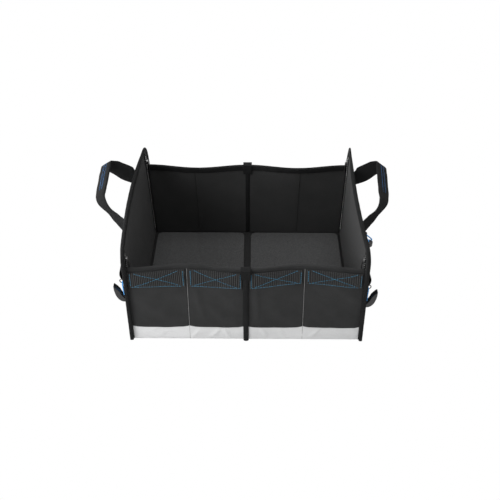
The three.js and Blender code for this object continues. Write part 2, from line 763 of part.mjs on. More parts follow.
function addHooks() {
  const shape = new THREE.Shape();
  shape.moveTo(0, 0);
  shape.bezierCurveTo(hookReach * 0.7, -2, hookReach, hookRise * 0.4, hookReach, hookRise);
  shape.quadraticCurveTo(hookReach * 0.8, hookRise * 0.92, hookReach * 0.5, hookRise * 0.66);
  shape.quadraticCurveTo(hookReach * 0.36, hookRise * 0.34, 0, hookThickness);
  sides.forEach((side) => {
    const claw = new THREE.ExtrudeGeometry(shape, {
      depth: hookWidth - 2 * hookRounding,
      bevelThickness: hookRounding,
      bevelSize: hookRounding,
      bevelSegments: 2,
      curveSegments: 8,
    });
    claw.translate(0, 0, hookRounding - hookWidth / 2);
    const toRow = new THREE.Matrix4().makeBasis(
      new THREE.Vector3(side.sign, 0, 0), new THREE.Vector3(0, 0, 1), new THREE.Vector3(0, -side.sign, 0),
    );
    claw.applyMatrix4(toRow);
    const hook = addPiece(`hook_${side.name}`, claw, plasticBlack);
    const foot = hookFoot - hookDrop[side.name];
    hook.position.set(side.sign * hookFace(side), -hookMiddle, foot);

    const ringAt = ringPlace(side);
    const ring = addPiece(
      `hook_ring_${side.name}`,
      new THREE.TorusGeometry(ringRadius, ringWire, 6, 16),
      plasticBlack,
    );
    ring.position.set(side.sign * ringAt.x, -hookMiddle, ringAt.z);
    ring.rotation.x = Math.PI / 2;

    const bend = elasticBend;
    const top = ringAt.z - ringRadius + ringWire + seamGap + elasticDiameter / 2;
    const footX = side.sign * (hookFace(side) + hookElasticInset);
    const footZ = foot + hookElasticFoot;
    const turn = evenly(0, Math.PI, 8).map((angle) => new THREE.Vector3(
      side.sign * ringAt.x,
      -hookMiddle - bend * Math.cos(angle),
      top - bend + bend * Math.sin(angle),
    ));
    const strand = (sign) => new THREE.Vector3(footX, -hookMiddle + sign * bend, footZ);
    addPiece(`hook_elastic_${side.name}`, cordBody([strand(-1), ...turn, strand(1)]), elasticBlue);
  });
}

// A plain round cord along chosen points
function cordBody(points) {
  const section = new THREE.Shape();
  section.absarc(0, 0, elasticDiameter / 2, 0, 2 * Math.PI);
  const route = new THREE.CatmullRomCurve3(points, false, 'centripetal');
  return new THREE.ExtrudeGeometry(section, {
    steps: Math.ceil(route.getLength() / (elasticDiameter * 1.2)),
    extrudePath: route,
    curveSegments: 4,
  });
}

// Blue drawcord of the right pocket, hung over a small tab on the hem, with its cord lock below
function addDrawcord() {
  const side = sides[1];
  const hem = pocketStandOff(side, lockMiddle, pocketTop) + pocketHem;
  const mouth = panelMiddle(side, lockMiddle, pocketTop) + hem;
  const tabMiddle = mouth + seamGap + tabRingRadius;
  const tabShape = new THREE.Shape();
  tabShape.absarc(0, 0, tabRingRadius, 0, 2 * Math.PI);
  const eye = new THREE.Path();
  eye.absarc(0, 0, tabEyeRadius, 0, 2 * Math.PI);
  tabShape.holes.push(eye);
  const tab = new THREE.ExtrudeGeometry(tabShape, {
    depth: drawTabWidth,
    bevelEnabled: false,
    curveSegments: 8,
  });
  tab.translate(0, 0, -drawTabWidth / 2);
  tab.rotateX(Math.PI / 2);
  const tabHeight = pocketTop + pocketHem - tabEyeRadius;
  addPiece('drawcord_tab', tab, webbingBlack).position.set(tabMiddle, lockMiddle, tabHeight);

  const lockTop = tabHeight - drawcordDrop;
  const bend = elasticBend;
  const turn = evenly(0, Math.PI, 8).map((angle) => new THREE.Vector3(
    tabMiddle, lockMiddle - bend * Math.cos(angle), tabHeight - bend + bend * Math.sin(angle),
  ));
  const spread = drawcordSpread / 2;
  const domeDrop = lockRadius - Math.sqrt(lockRadius ** 2 - spread ** 2);
  const twist = THREE.MathUtils.degToRad(lockTurn);
  const strand = (sign, rise) => new THREE.Vector3(
    tabMiddle + lockLean + sign * spread * Math.sin(twist),
    lockMiddle + sign * spread * Math.cos(twist),
    lockTop + seamGap - domeDrop + elasticDiameter / 2 + rise,
  );
  const straight = elasticDiameter * 1.5;
  const route = [strand(-1, 0), strand(-1, straight), ...turn, strand(1, straight), strand(1, 0)];
  addPiece('drawcord', cordBody(route), elasticBlue);

  const top = lockLength;
  const shoulder = top - lockRadius * lockDomeShare;
  const roof = shoulder - lockWall;
  const bore = lockButtonRadius + runningGap;
  const dome = new THREE.EllipseCurve(0, shoulder, lockRadius, top - shoulder, 0, Math.PI / 2);
  const housing = new THREE.LatheGeometry([
    new THREE.Vector2(0, roof), new THREE.Vector2(bore, roof), new THREE.Vector2(bore, 0),
    new THREE.Vector2(lockRadius - lockEdge, 0), new THREE.Vector2(lockRadius, lockEdge),
    ...dome.getPoints(6).slice(0, -1),
    new THREE.Vector2(0, top),
  ], 20);
  const lock = new THREE.Group();
  lock.position.set(tabMiddle + lockLean, lockMiddle, lockTop - lockLength);
  storageBox.add(lock);
  housing.rotateX(Math.PI / 2);
  const body = addPiece('cord_lock', housing, plasticBlack);
  lock.add(body);

  const buttonTop = roof - lockSpringLength - 2 * seamGap;
  const button = new THREE.LatheGeometry([
    new THREE.Vector2(0, -lockButtonProud), new THREE.Vector2(lockButtonRadius - lockEdge, -lockButtonProud),
    new THREE.Vector2(lockButtonRadius, lockEdge - lockButtonProud),
    new THREE.Vector2(lockButtonRadius, buttonTop),
    new THREE.Vector2(0, buttonTop),
  ], 20);
  button.rotateX(Math.PI / 2);
  lock.add(addPiece('cord_lock_button', button, plasticBlack));

  const coilRadius = lockButtonRadius - lockSpringWire - 1;
  const coilSteps = Math.round(lockSpringTurns * 12);
  const rise = lockSpringLength - lockSpringWire;
  const helix = new THREE.CatmullRomCurve3(evenly(0, lockSpringTurns, coilSteps).map((turnCount) => {
    const angle = turnCount * 2 * Math.PI;
    const z = buttonTop + seamGap + lockSpringWire / 2 + (rise * turnCount) / lockSpringTurns;
    return new THREE.Vector3(coilRadius * Math.cos(angle), coilRadius * Math.sin(angle), z);
  }));
  const wire = new THREE.Shape();
  wire.absarc(0, 0, lockSpringWire / 2, 0, 2 * Math.PI);
  const spring = new THREE.ExtrudeGeometry(wire, { steps: coilSteps, extrudePath: helix, curveSegments: 3 });
  lock.add(addPiece('cord_lock_spring', spring, zipSilver));
}

addBaseSheet();
addFloorBoards();
addSidePanels();
addSideBindings();
addWalls();
addRimBindings();
addCentreBindings();
addRimTabs();
addKickBands();
addFacings();
addRibbedBands();
addHandles();
addSidePockets();
addZips();
addZipSliders();
addHookAnchors();
addHooks();
addDrawcord();

export default storageBox;
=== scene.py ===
import math

import bmesh
import bpy
from mathutils import Matrix, Vector, noise


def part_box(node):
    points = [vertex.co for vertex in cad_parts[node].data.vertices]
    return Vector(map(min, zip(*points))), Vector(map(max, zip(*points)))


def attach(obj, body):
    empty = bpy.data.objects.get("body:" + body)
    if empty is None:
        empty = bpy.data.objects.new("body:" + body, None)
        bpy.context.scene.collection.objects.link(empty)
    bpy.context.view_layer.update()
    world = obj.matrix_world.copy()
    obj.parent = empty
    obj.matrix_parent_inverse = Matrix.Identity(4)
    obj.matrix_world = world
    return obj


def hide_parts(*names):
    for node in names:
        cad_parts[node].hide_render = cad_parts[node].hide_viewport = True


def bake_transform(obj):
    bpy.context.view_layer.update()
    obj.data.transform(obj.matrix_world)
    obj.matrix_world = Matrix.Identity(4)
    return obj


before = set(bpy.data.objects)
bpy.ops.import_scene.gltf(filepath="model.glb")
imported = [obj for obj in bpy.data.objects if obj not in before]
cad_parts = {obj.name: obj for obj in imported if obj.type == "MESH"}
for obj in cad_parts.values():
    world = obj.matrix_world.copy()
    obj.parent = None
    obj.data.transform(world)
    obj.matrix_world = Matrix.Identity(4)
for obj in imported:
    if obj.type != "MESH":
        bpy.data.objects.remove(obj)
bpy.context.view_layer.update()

# Shapes are worked out in millimetres, and addPiece turns them into metres
toMetres = Matrix.Scale(0.001, 4)
sides = {"left": -1, "right": 1}

# ---- the box's own surfaces
shell = {
    "width": 500,
    "depth": 394,
    "height": 271,
    "panelThickness": 5,
    "topRadius": {"left": 32, "right": 28},
    "footRadius": 6,
    "rimBow": {"left": 9, "right": -7},
    "rimBowPower": 1.6,
    "footFlare": 11,
    "bindingRoom": 1.6,
}
walls = {
    "front": {"facing": -1, "face": 188, "foldBow": 13},
    "back": {"facing": 1, "face": 178, "foldBow": 13},
}
wallValues = {"height": 220, "thickness": 4, "foldPower": 1.6, "foldShare": 0.5}


def panelMiddle(side, y, z):
    rise = max(0, z) / shell["height"]
    along = y / (shell["depth"] / 2)
    bow = shell["rimBow"][side] * rise ** shell["rimBowPower"] * math.cos(math.pi / 2 * along)
    flare = shell["footFlare"] * max(0, -along) ** 2 * (1 - rise)
    return shell["width"] / 2 - shell["panelThickness"] / 2 + bow + flare


def onPanel(side, y, z, proud=0):
    return Vector((sides[side] * (panelMiddle(side, y, z) + proud), y, z))


def wallReach(side, wall, z):
    y = walls[wall]["facing"] * walls[wall]["face"]
    return panelMiddle(side, y, z) - shell["panelThickness"] / 2 - shell["bindingRoom"]


# across runs from -1 at the left panel to 1 at the right one, proud from the outer face
def onWall(wall, across, z, proud=0):
    side = "left" if across < 0 else "right"
    share = abs(across)
    rise = max(0, z) / wallValues["height"]
    lean = walls[wall]["foldBow"] * rise ** wallValues["foldPower"]
    lean = lean * (1 - math.cos(2 * math.pi * share)) / 2
    y = walls[wall]["facing"] * (walls[wall]["face"] - lean + proud)
    return Vector((sides[side] * share * wallReach(side, wall, z), y, z))


def between(low, high, share):
    return low + (high - low) * share


# Smooth uneven value from -1 to 1, about one wave per size
def ripple(point, size, seed):
    return noise.noise(Vector(point) / size + Vector((seed * 7.3, seed * 3.1, 0)))


def smoothStep(value):
    value = min(1, max(0, value))
    return value * value * (3 - 2 * value)


# 0 at the ends of a sheet, 1 further in than margin
def inside(share, margin):
    return min(1, max(0, min(share, 1 - share) / margin))


# ---- making pieces
# A flat grid bent by place(u, v), whose UV map is in metres of cloth
def sheetMesh(columns, rows, place, flat, out):
    bm = bmesh.new()
    bmesh.ops.create_grid(bm, x_segments=columns, y_segments=rows, size=0.5)
    uvMap = bm.loops.layers.uv.new("UVMap")
    for face in bm.faces:
        for loop in face.loops:
            u, v = loop.vert.co.x + 0.5, loop.vert.co.y + 0.5
            loop[uvMap].uv = (u * flat[0] / 1000, v * flat[1] / 1000)
    for vert in bm.verts:
        vert.co = place(vert.co.x + 0.5, vert.co.y + 0.5)
    bm.normal_update()
    facing = sum((face.normal * face.calc_area() for face in bm.faces), Vector())
    if facing.dot(Vector(out)) < 0:
        bmesh.ops.reverse_faces(bm, faces=bm.faces)
    return bm


def addPiece(name, bm, material, replaced=(), body="box", smooth=True):
    bmesh.ops.transform(bm, matrix=toMetres, verts=bm.verts)
    mesh = bpy.data.meshes.new(name)
    bm.to_mesh(mesh)
    bm.free()
    mesh.materials.append(material)
    if smooth:
        mesh.shade_smooth()
    piece = bpy.data.objects.new(name, mesh)
    bpy.context.scene.collection.objects.link(piece)
    if replaced:
        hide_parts(*replaced)
    if body:
        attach(piece, body)
    return piece


def thicken(piece, thickness, offset=0, round=0):
    solid = piece.modifiers.new("Thickness", "SOLIDIFY")
    solid.thickness = thickness / 1000
    solid.offset = offset
    solid.use_even_offset = True
    if round:
        bevel = piece.modifiers.new("Edges", "BEVEL")
        bevel.width = round / 1000
        bevel.segments = 2
        bevel.limit_method = "ANGLE"
        bevel.angle_limit = math.radians(50)
    return piece


# Rows of short threads lying on a surface, out(at) being the way it faces
def stitchRow(bm, points, out, dash, gap, width):
    step = 0
    length = 0.0
    runs = []
    for first, second in zip(points, points[1:]):
        runs.append((first, second, length, (second - first).length))
        length += (second - first).length
    position = gap
    while position + dash < length:
        middle = position + dash / 2
        for first, second, begin, size in runs:
            if begin <= middle <= begin + size:
                at = first.lerp(second, (middle - begin) / size)
                along = (second - first).normalized()
                up = Vector(out(at))
                up = (up - along * up.dot(along)).normalized()
                turn = Matrix((along, up.cross(along), up)).transposed().to_4x4()
                size3 = Matrix.Diagonal((dash, width, width * 0.6, 1))
                place = Matrix.Translation(at) @ turn @ size3
                bmesh.ops.create_cube(bm, size=1, matrix=place)
                break
        position += dash + gap
        step += 1
    return step


def softenStitches(piece):
    bevel = piece.modifiers.new("Round", "BEVEL")
    bevel.width = 0.0002
    bevel.segments = 1


# Round cord through points, closed at its ends
def tubeMesh(points, radius, corners=10, twist=0.0):
    rings = len(points) - 1
    normals = []
    for index, point in enumerate(points):
        ahead = points[min(rings, index + 1)] - points[max(0, index - 1)]
        normals.append(ahead.normalized())
    aside = normals[0].orthogonal().normalized()
    frames = []
    for along in normals:
        aside = (aside - along * aside.dot(along)).normalized()
        frames.append((aside, along.cross(aside)))
    bm = bmesh.new()
    bmesh.ops.create_grid(bm, x_segments=rings, y_segments=corners, size=0.5)
    uvMap = bm.loops.layers.uv.new("UVMap")
    for face in bm.faces:
        for loop in face.loops:
            loop[uvMap].uv = (loop.vert.co.x, loop.vert.co.y * radius * 0.006)
    for vert in bm.verts:
        ring = round((vert.co.x + 0.5) * rings)
        angle = 2 * math.pi * (vert.co.y + 0.5)
        first, second = frames[ring]
        vert.co = points[ring] + radius * (first * math.cos(angle) + second * math.sin(angle))
    bmesh.ops.remove_doubles(bm, verts=bm.verts, dist=0.001)
    ends = [loop for loop in bm.edges if loop.is_boundary]
    bmesh.ops.holes_fill(bm, edges=ends, sides=0)
    bmesh.ops.recalc_face_normals(bm, faces=bm.faces)
    return bm


# ---- materials
def link(tree, source, target):
    tree.links.new(source, target)


# Woven or ribbed threads: a mask that follows the threads, a blotch for wear and a normal
def makeWeave():
    group = bpy.data.node_groups.new("weave", "ShaderNodeTree")
    sockets = [
        ("Threads", "NodeSocketFloat"), ("Relief", "NodeSocketFloat"),
        ("Blotch Size", "NodeSocketFloat"), ("Vector", "NodeSocketVector"),
    ]
    for name, kind in sockets:
        group.interface.new_socket(name, in_out="INPUT", socket_type=kind)
    for name, kind in [
        ("Thread", "NodeSocketFloat"), ("Blotch", "NodeSocketFloat"), ("Normal", "NodeSocketVector"),
    ]:
        group.interface.new_socket(name, in_out="OUTPUT", socket_type=kind)
    nodes = group.nodes
    given = nodes.new("NodeGroupInput")
    result = nodes.new("NodeGroupOutput")
    waves = []
    for direction in ("X", "Y"):
        wave = nodes.new("ShaderNodeTexWave")
        wave.wave_type = "BANDS"
        wave.bands_direction = direction
        wave.inputs["Distortion"].default_value = 0.6
        wave.inputs["Detail"].default_value = 1
        link(group, given.outputs["Vector"], wave.inputs["Vector"])
        link(group, given.outputs["Threads"], wave.inputs["Scale"])
        waves.append(wave)
    cross = nodes.new("ShaderNodeMath")
    cross.operation = "MULTIPLY"
    link(group, waves[0].outputs["Fac"], cross.inputs[0])
    link(group, waves[1].outputs["Fac"], cross.inputs[1])
    blotch = nodes.new("ShaderNodeTexNoise")
    blotch.inputs["Detail"].default_value = 5
    blotch.inputs["Roughness"].default_value = 0.6
    link(group, given.outputs["Vector"], blotch.inputs["Vector"])
    link(group, given.outputs["Blotch Size"], blotch.inputs["Scale"])
    bump = nodes.new("ShaderNodeBump")
    bump.inputs["Distance"].default_value = 0.0004
    link(group, given.outputs["Relief"], bump.inputs["Strength"])
    link(group, cross.outputs[0], bump.inputs["Height"])
    link(group, cross.outputs[0], result.inputs["Thread"])
    link(group, blotch.outputs["Fac"], result.inputs["Blotch"])
    link(group, bump.outputs["Normal"], result.inputs["Normal"])
    return group


# Fine uneven grain for plastic, felt and metal
def makeGrain():
    group = bpy.data.node_groups.new("grain", "ShaderNodeTree")
    for name in ("Scale", "Relief"):
        group.interface.new_socket(name, in_out="INPUT", socket_type="NodeSocketFloat")
    group.interface.new_socket("Vector", in_out="INPUT", socket_type="NodeSocketVector")
    group.interface.new_socket("Grain", in_out="OUTPUT", socket_type="NodeSocketFloat")
    group.interface.new_socket("Normal", in_out="OUTPUT", socket_type="NodeSocketVector")
    nodes = group.nodes
    given = nodes.new("NodeGroupInput")
    result = nodes.new("NodeGroupOutput")
    grain = nodes.new("ShaderNodeTexNoise")
    grain.inputs["Detail"].default_value = 6
    grain.inputs["Roughness"].default_value = 0.65
    link(group, given.outputs["Vector"], grain.inputs["Vector"])
    link(group, given.outputs["Scale"], grain.inputs["Scale"])
    bump = nodes.new("ShaderNodeBump")
    bump.inputs["Distance"].default_value = 0.0004
    link(group, given.outputs["Relief"], bump.inputs["Strength"])
    link(group, grain.outputs["Fac"], bump.inputs["Height"])
    link(group, grain.outputs["Fac"], result.inputs["Grain"])
    link(group, bump.outputs["Normal"], result.inputs["Normal"])
    return group


weaveGroup = makeWeave()
grainGroup = makeGrain()


def newMaterial(name):
    material = bpy.data.materials.new(name)
    material.use_nodes = True
    shader = material.node_tree.nodes["Principled BSDF"]
    return material, material.node_tree, shader


def rampOf(tree, source, colours, low, high):
    ramp = tree.nodes.new("ShaderNodeValToRGB")
    ramp.color_ramp.elements[0].position = low
    ramp.color_ramp.elements[0].color = (*colours[0], 1)
    ramp.color_ramp.elements[1].position = high
    ramp.color_ramp.elements[1].color = (*colours[1], 1)
    link(tree, source, ramp.inputs["Fac"])
    return ramp.outputs["Color"]


def fabric(name, dark, light, threads, relief, blotchSize, roughness=0.9, sheen=0.04, shine=0.2, contrast=0.35):
    material, tree, shader = newMaterial(name)
    place = tree.nodes.new("ShaderNodeUVMap")
    place.uv_map = "UVMap"
    weave = tree.nodes.new("ShaderNodeGroup")
    weave.node_tree = weaveGroup
    weave.inputs["Threads"].default_value = threads
    weave.inputs["Relief"].default_value = relief
    weave.inputs["Blotch Size"].default_value = blotchSize
    link(tree, place.outputs["UV"], weave.inputs["Vector"])
    mixed = tree.nodes.new("ShaderNodeMath")
    mixed.operation = "MULTIPLY_ADD"
    mixed.inputs[1].default_value = contrast
    link(tree, weave.outputs["Thread"], mixed.inputs[0])
    link(tree, weave.outputs["Blotch"], mixed.inputs[2])
    link(tree, rampOf(tree, mixed.outputs[0], (dark, light), 0.3, 0.9), shader.inputs["Base Color"])
    link(tree, weave.outputs["Normal"], shader.inputs["Normal"])
    shader.inputs["Roughness"].default_value = roughness
    shader.inputs["Specular IOR Level"].default_value = shine
    shader.inputs["Sheen Weight"].default_value = sheen
    shader.inputs["Sheen Roughness"].default_value = 0.5
    return material


def grained(name, dark, light, scale, relief, roughness=0.5, metallic=0, sheen=0):
    material, tree, shader = newMaterial(name)
    place = tree.nodes.new("ShaderNodeTexCoord")
    grain = tree.nodes.new("ShaderNodeGroup")
    grain.node_tree = grainGroup
    grain.inputs["Scale"].default_value = scale
    grain.inputs["Relief"].default_value = relief
    link(tree, place.outputs["Object"], grain.inputs["Vector"])
    link(tree, rampOf(tree, grain.outputs["Grain"], (dark, light), 0.35, 0.65), shader.inputs["Base Color"])
    link(tree, grain.outputs["Normal"], shader.inputs["Normal"])
    shader.inputs["Roughness"].default_value = roughness
    shader.inputs["Metallic"].default_value = metallic
    shader.inputs["Sheen Weight"].default_value = sheen
    return material


# Cuts a slanted grid of small holes into a fabric
def openNet(material, scale):
    tree = material.node_tree
    place = tree.nodes["UV Map"]
    bands = []
    for direction in ("X", "Y"):
        wave = tree.nodes.new("ShaderNodeTexWave")
        wave.bands_direction = direction
        wave.inputs["Scale"].default_value = scale
        turn = tree.nodes.new("ShaderNodeMapping")
        turn.inputs["Rotation"].default_value[2] = math.radians(45)
        link(tree, place.outputs["UV"], turn.inputs["Vector"])
        link(tree, turn.outputs["Vector"], wave.inputs["Vector"])
        bands.append(wave)
    lower = tree.nodes.new("ShaderNodeMath")
    lower.operation = "MINIMUM"
    link(tree, bands[0].outputs["Fac"], lower.inputs[0])
    link(tree, bands[1].outputs["Fac"], lower.inputs[1])
    solid = tree.nodes.new("ShaderNodeMath")
    solid.operation = "LESS_THAN"
    solid.inputs[1].default_value = 0.62
    link(tree, lower.outputs[0], solid.inputs[0])
    link(tree, solid.outputs[0], tree.nodes["Principled BSDF"].inputs["Alpha"])


# Painted shade: darkens the base colour in the valleys between the ribs, from the rib value that the mesh keeps as an
# attribute
def paintRibValleyShade(material, valley):
    tree = material.node_tree
    shader = tree.nodes["Principled BSDF"]
    ribs = tree.nodes.new("ShaderNodeAttribute")
    ribs.attribute_name = "rib"
    darker = tree.nodes.new("ShaderNodeMix")
    darker.data_type = "RGBA"
    darker.blend_type = "MULTIPLY"
    darker.inputs["Factor"].default_value = 1
    colour = shader.inputs["Base Color"].links[0].from_socket
    link(tree, colour, darker.inputs["A"])
    link(tree, rampOf(tree, ribs.outputs["Fac"], (grey(valley), grey(1)), 0.25, 0.8), darker.inputs["B"])
    link(tree, darker.outputs["Result"], shader.inputs["Base Color"])


def grey(value, tint=0.0):
    return (value, value * (1 + tint / 2), value * (1 + tint))


cloth = fabric("black_cloth", grey(0.007, 0.03), grey(0.026, 0.03), 190, 0.6, 9, contrast=0.6)
liningCloth = fabric("lining_cloth", grey(0.016, 0.02), grey(0.034, 0.02), 700, 0.5, 5)
baseCloth = fabric("base_cloth", grey(0.008, 0.02), grey(0.016, 0.02), 700, 0.5, 7)
ribWebbing = fabric("band_webbing", grey(0.022, 0.04), grey(0.04, 0.04), 500, 0.6, 12)
# Painted shade in the valleys between the band webbing's ribs, down to 0.12 of its colour
paintRibValleyShade(ribWebbing, 0.12)
webbing = fabric("black_webbing", grey(0.005, 0.06), grey(0.012, 0.06), 600, 0.7, 20, 0.85, 0.01, 0.1)
rimTape = fabric("rim_tape", grey(0.012, 0.03), grey(0.028, 0.03), 380, 0.8, 14, 0.85, 0.02, 0.15)
kickCloth = fabric("kick_cloth", grey(0.52, 0.01), grey(0.64, 0.01), 900, 0.3, 14, 0.8)
greyWebbing = fabric("grey_webbing", grey(0.42), grey(0.55), 600, 0.6, 20, 0.8)
piping = fabric("light_piping", grey(0.14), grey(0.34), 600, 0.6, 60, 0.7)
felt = grained("grey_felt", grey(0.027, 0.02), grey(0.064, 0.02), 480, 1, 1)
thread = grained("blue_thread", (0.02, 0.15, 0.27), (0.045, 0.26, 0.42), 900, 0.4, 0.8)
gripThread = grained("dark_blue_thread", (0.012, 0.07, 0.2), (0.03, 0.14, 0.34), 900, 0.4, 0.8)
blackThread = grained("black_thread", grey(0.02), grey(0.045), 900, 0.4, 0.8)
elastic = grained("blue_elastic", (0.03, 0.25, 0.68), (0.1, 0.42, 0.85), 900, 0.8, 0.6)
plastic = grained("black_plastic", grey(0.006), grey(0.012), 500, 0.12, 0.38)
metal = grained("plated_metal", grey(0.55), grey(0.7), 300, 0.1, 0.3, 1)
darkMetal = grained("dark_metal", grey(0.2), grey(0.3), 300, 0.1, 0.35, 1)
net = fabric("pocket_net", grey(0.006, 0.1), grey(0.016, 0.1), 420, 1, 16, 0.8)
openNet(net, 55)
print("materials done")

# ---- side panels and their bindings
panelValues = {"columns": 48, "rows": 36, "wrinkle": 0.5, "taper": 0.6}


def panelHalf(side, z):
    half = shell["depth"] / 2
    radius = shell["topRadius"][side]
    over = z - (shell["height"] - radius)
    if over > 0:
        half -= radius - math.sqrt(max(0, radius**2 - over**2))
    under = shell["footRadius"] - z
    if under > 0:
        half -= shell["footRadius"] - math.sqrt(max(0, shell["footRadius"] ** 2 - under**2))
    return half


# Share of its full thickness that a panel keeps: it is thin at the back top corner
def keptThickness(y, z):
    return 1 - panelValues["taper"] * smoothStep((z - 205) / 60) * smoothStep((y - 70) / 110)


def makePanel(side):
    def place(u, v):
        z = shell["height"] * (1 - (1 - v) ** 1.6)
        y = between(-1, 1, u) * panelHalf(side, z)
        soft = panelValues["wrinkle"] * ripple((y, z, 0), 55, sides[side])
        return onPanel(side, y, z, soft * inside(u, 0.1) * inside(v, 0.1))

    flat = (shell["depth"], shell["height"])
    bm = sheetMesh(panelValues["columns"], panelValues["rows"], place, flat, (sides[side], 0, 0))
    piece = addPiece(f"panel_cloth_{side}", bm, liningCloth, [f"side_panel_{side}"])
    solid = thicken(piece, shell["panelThickness"]).modifiers["Thickness"]
    kept = piece.vertex_groups.new(name="kept")
    for vert in piece.data.vertices:
        kept.add([vert.index], keptThickness(vert.co.y * 1000, vert.co.z * 1000), "REPLACE")
    solid.vertex_group = "kept"


bindingValues = {"leg": 9, "standOff": 3.3, "rollOut": 1.2, "thickness": 1, "pucker": 0.25, "stitchIn": 6.5}


# Points round the front, top and back of a panel, with the direction into the panel
def panelEdge(side, steps):
    half = shell["depth"] / 2
    radius = shell["topRadius"][side]
    low = shell["footRadius"]
    high = shell["height"] - radius
    straight = high - low
    corner = math.pi / 2 * radius
    top = 2 * (half - radius)
    total = 2 * straight + 2 * corner + top
    points = []
    for step in range(steps + 1):
        along = total * step / steps
        mirrored = along > total / 2
        run = total - along if mirrored else along
        sign = 1 if mirrored else -1
        if run < straight:
            y, z, inY, inZ = sign * half, low + run, -sign, 0
        elif run < straight + corner:
            angle = (run - straight) / radius
            y = sign * (half - radius * (1 - math.cos(angle)))
            z = high + radius * math.sin(angle)
            inY, inZ = -sign * math.cos(angle), -math.sin(angle)
        else:
            y, z = sign * (half - radius - (run - straight - corner)), shell["height"]
            inY, inZ = 0, -1
        points.append((y, z, inY, inZ))
    return points, total


# The folded section of a binding: (distance in from the edge, proud) for v from 0 to 1
def foldedSection(v, leg, standOff, rollOut):
    bend = math.pi * standOff / 2
    run = v * (2 * leg + 2 * bend)
    if run < leg:
        return leg - run, -standOff
    if run > leg + 2 * bend:
        return run - leg - 2 * bend, standOff
    angle = (run - leg) / (2 * bend) * math.pi
    return -rollOut * math.sin(angle), -standOff * math.cos(angle)


def makeSideBinding(side):
    steps = 150
    points, total = panelEdge(side, steps)
    values = bindingValues

    def place(u, v):
        y, z, inY, inZ = points[round(u * steps)]
        inward, proud = foldedSection(v, values["leg"], values["standOff"], values["rollOut"])
        inward += 0.6 * ripple((y, z, 0), 40, 5) * inside(1 - v, 0.5)
        proud *= keptThickness(y, z) * (1 + values["pucker"] * ripple((y, z, proud * 3), 9, 2) * 0.4)
        return onPanel(side, y + inward * inY, z + inward * inZ, proud)

    bm = sheetMesh(steps, 16, place, (total, 28), (sides[side], 0, 0))
    piece = addPiece(f"panel_tape_{side}", bm, webbing, [f"side_binding_{side}"])
    thicken(piece, values["thickness"], 0)
    stitches = bmesh.new()
    for face in (-1, 1):
        proud = face * (values["standOff"] + 0.7)
        row = []
        for y, z, inY, inZ in points:
            row.append(onPanel(side, y + values["stitchIn"] * inY, z + values["stitchIn"] * inZ, proud * keptThickness(y, z)))
        out = Vector((sides[side] * face, 0, 0))
        stitchRow(stitches, row, lambda at: out, 3.2, 1.6, 0.7)
    softenStitches(addPiece(f"tape_stitching_{side}", stitches, blackThread, smooth=False))


for side in sides:
    makePanel(side)
    makeSideBinding(side)
print("side panels done")

# ---- walls, rims and the strips that join their halves
floorValues = {
    "sheetThickness": 2.4, "ridgeWidth": 15, "ridgeHeight": 1.6, "boardThickness": 5, "boardGap": 17,
    "boardEdge": 239, "boardFront": 179.5, "boardBack": 169.5, "boardRadius": 14, "round": 2.2, "foot": 2.7,
}
wallLooks = {"columns": 96, "rows": 30, "wrinkle": 1.3, "wave": 70, "seamDepth": 1.2, "seamWidth": 0.02}


def makeWall(wall):
    reach = wallReach("right", wall, 0)

    def place(u, v):
        across = between(-1, 1, u)
        z = wallValues["height"] * v
        fromFold = abs(abs(across) - wallValues["foldShare"]) / wallLooks["seamWidth"]
        crease = wallLooks["seamDepth"] * math.exp(-(fromFold**2))
        soft = wallLooks["wrinkle"] * ripple((across * reach, z * 0.6, 0), wallLooks["wave"], 3)
        soft *= inside(u, 0.06) * inside(v, 0.25)
        point = onWall(wall, across, z, -wallValues["thickness"] / 2 + soft * 0.6 - crease * 0.3)
        point.x += math.copysign(shell["bindingRoom"], across) * smoothStep((abs(across) - 0.97) / 0.03)
        return point

    out = (0, walls[wall]["facing"], 0)
    bm = sheetMesh(wallLooks["columns"], wallLooks["rows"], place, (2 * reach, wallValues["height"]), out)
    nodes = [f"{wall}_wall_left", f"{wall}_wall_right"]
    piece = addPiece(f"{wall}_wall_cloth", bm, liningCloth, nodes)
    thicken(piece, wallValues["thickness"])


rimValues = {"leg": 12, "standOff": 3.1, "rollOut": 1.4, "thickness": 0.9}


def makeRim(wall):
    reach = wallReach("right", wall, 0)

    def place(u, v):
        across = between(-1, 1, u)
        inward, proud = foldedSection(v, rimValues["leg"], rimValues["standOff"], rimValues["rollOut"])
        point = (across * reach, inward * 2, 0)
        proud *= 1 + 0.08 * ripple(point, 9, 4)
        inward += 0.4 * ripple(point, 45, 6) * (1 if inward > 2 else 0)
        return onWall(wall, across, wallValues["height"] - inward, proud - wallValues["thickness"] / 2)

    bm = sheetMesh(140, 16, place, (2 * reach, 28), (0, walls[wall]["facing"], 0))
    tape = rimTape if wall == "front" else webbing
    piece = addPiece(f"{wall}_rim_tape", bm, tape, [f"{wall}_rim_binding"])
    thicken(piece, rimValues["thickness"])


stripValues = {"seamShare": {"front": 0.5, "back": 0.53}, "innerWidth": 10, "width": 10, "depth": 4.5, "standOff": 2.2, "top": 212.7}
tabValues = {"width": 21, "thickness": 1.6, "drop": 25, "roof": 221.6}


def makeCentreStrip(wall):
    facing = walls[wall]["facing"]
    face = walls[wall]["face"] + stripValues["standOff"]

    def place(u, v):
        angle = math.pi * u
        x = -stripValues["width"] / 2 * math.cos(angle)
        z = stripValues["top"] * v
        proud = (stripValues["depth"] - 1) * math.sin(angle) ** 0.7
        proud += 0.25 * ripple((x, z, 0), 20, 8)
        return Vector((x, facing * (face + max(0, proud)), z))

    bm = sheetMesh(12, 60, place, (16, stripValues["top"]), (0, facing, 0))
    piece = addPiece(f"{wall}_centre_strip", bm, webbing, [f"{wall}_centre_binding"])
    thicken(piece, 1, 1)


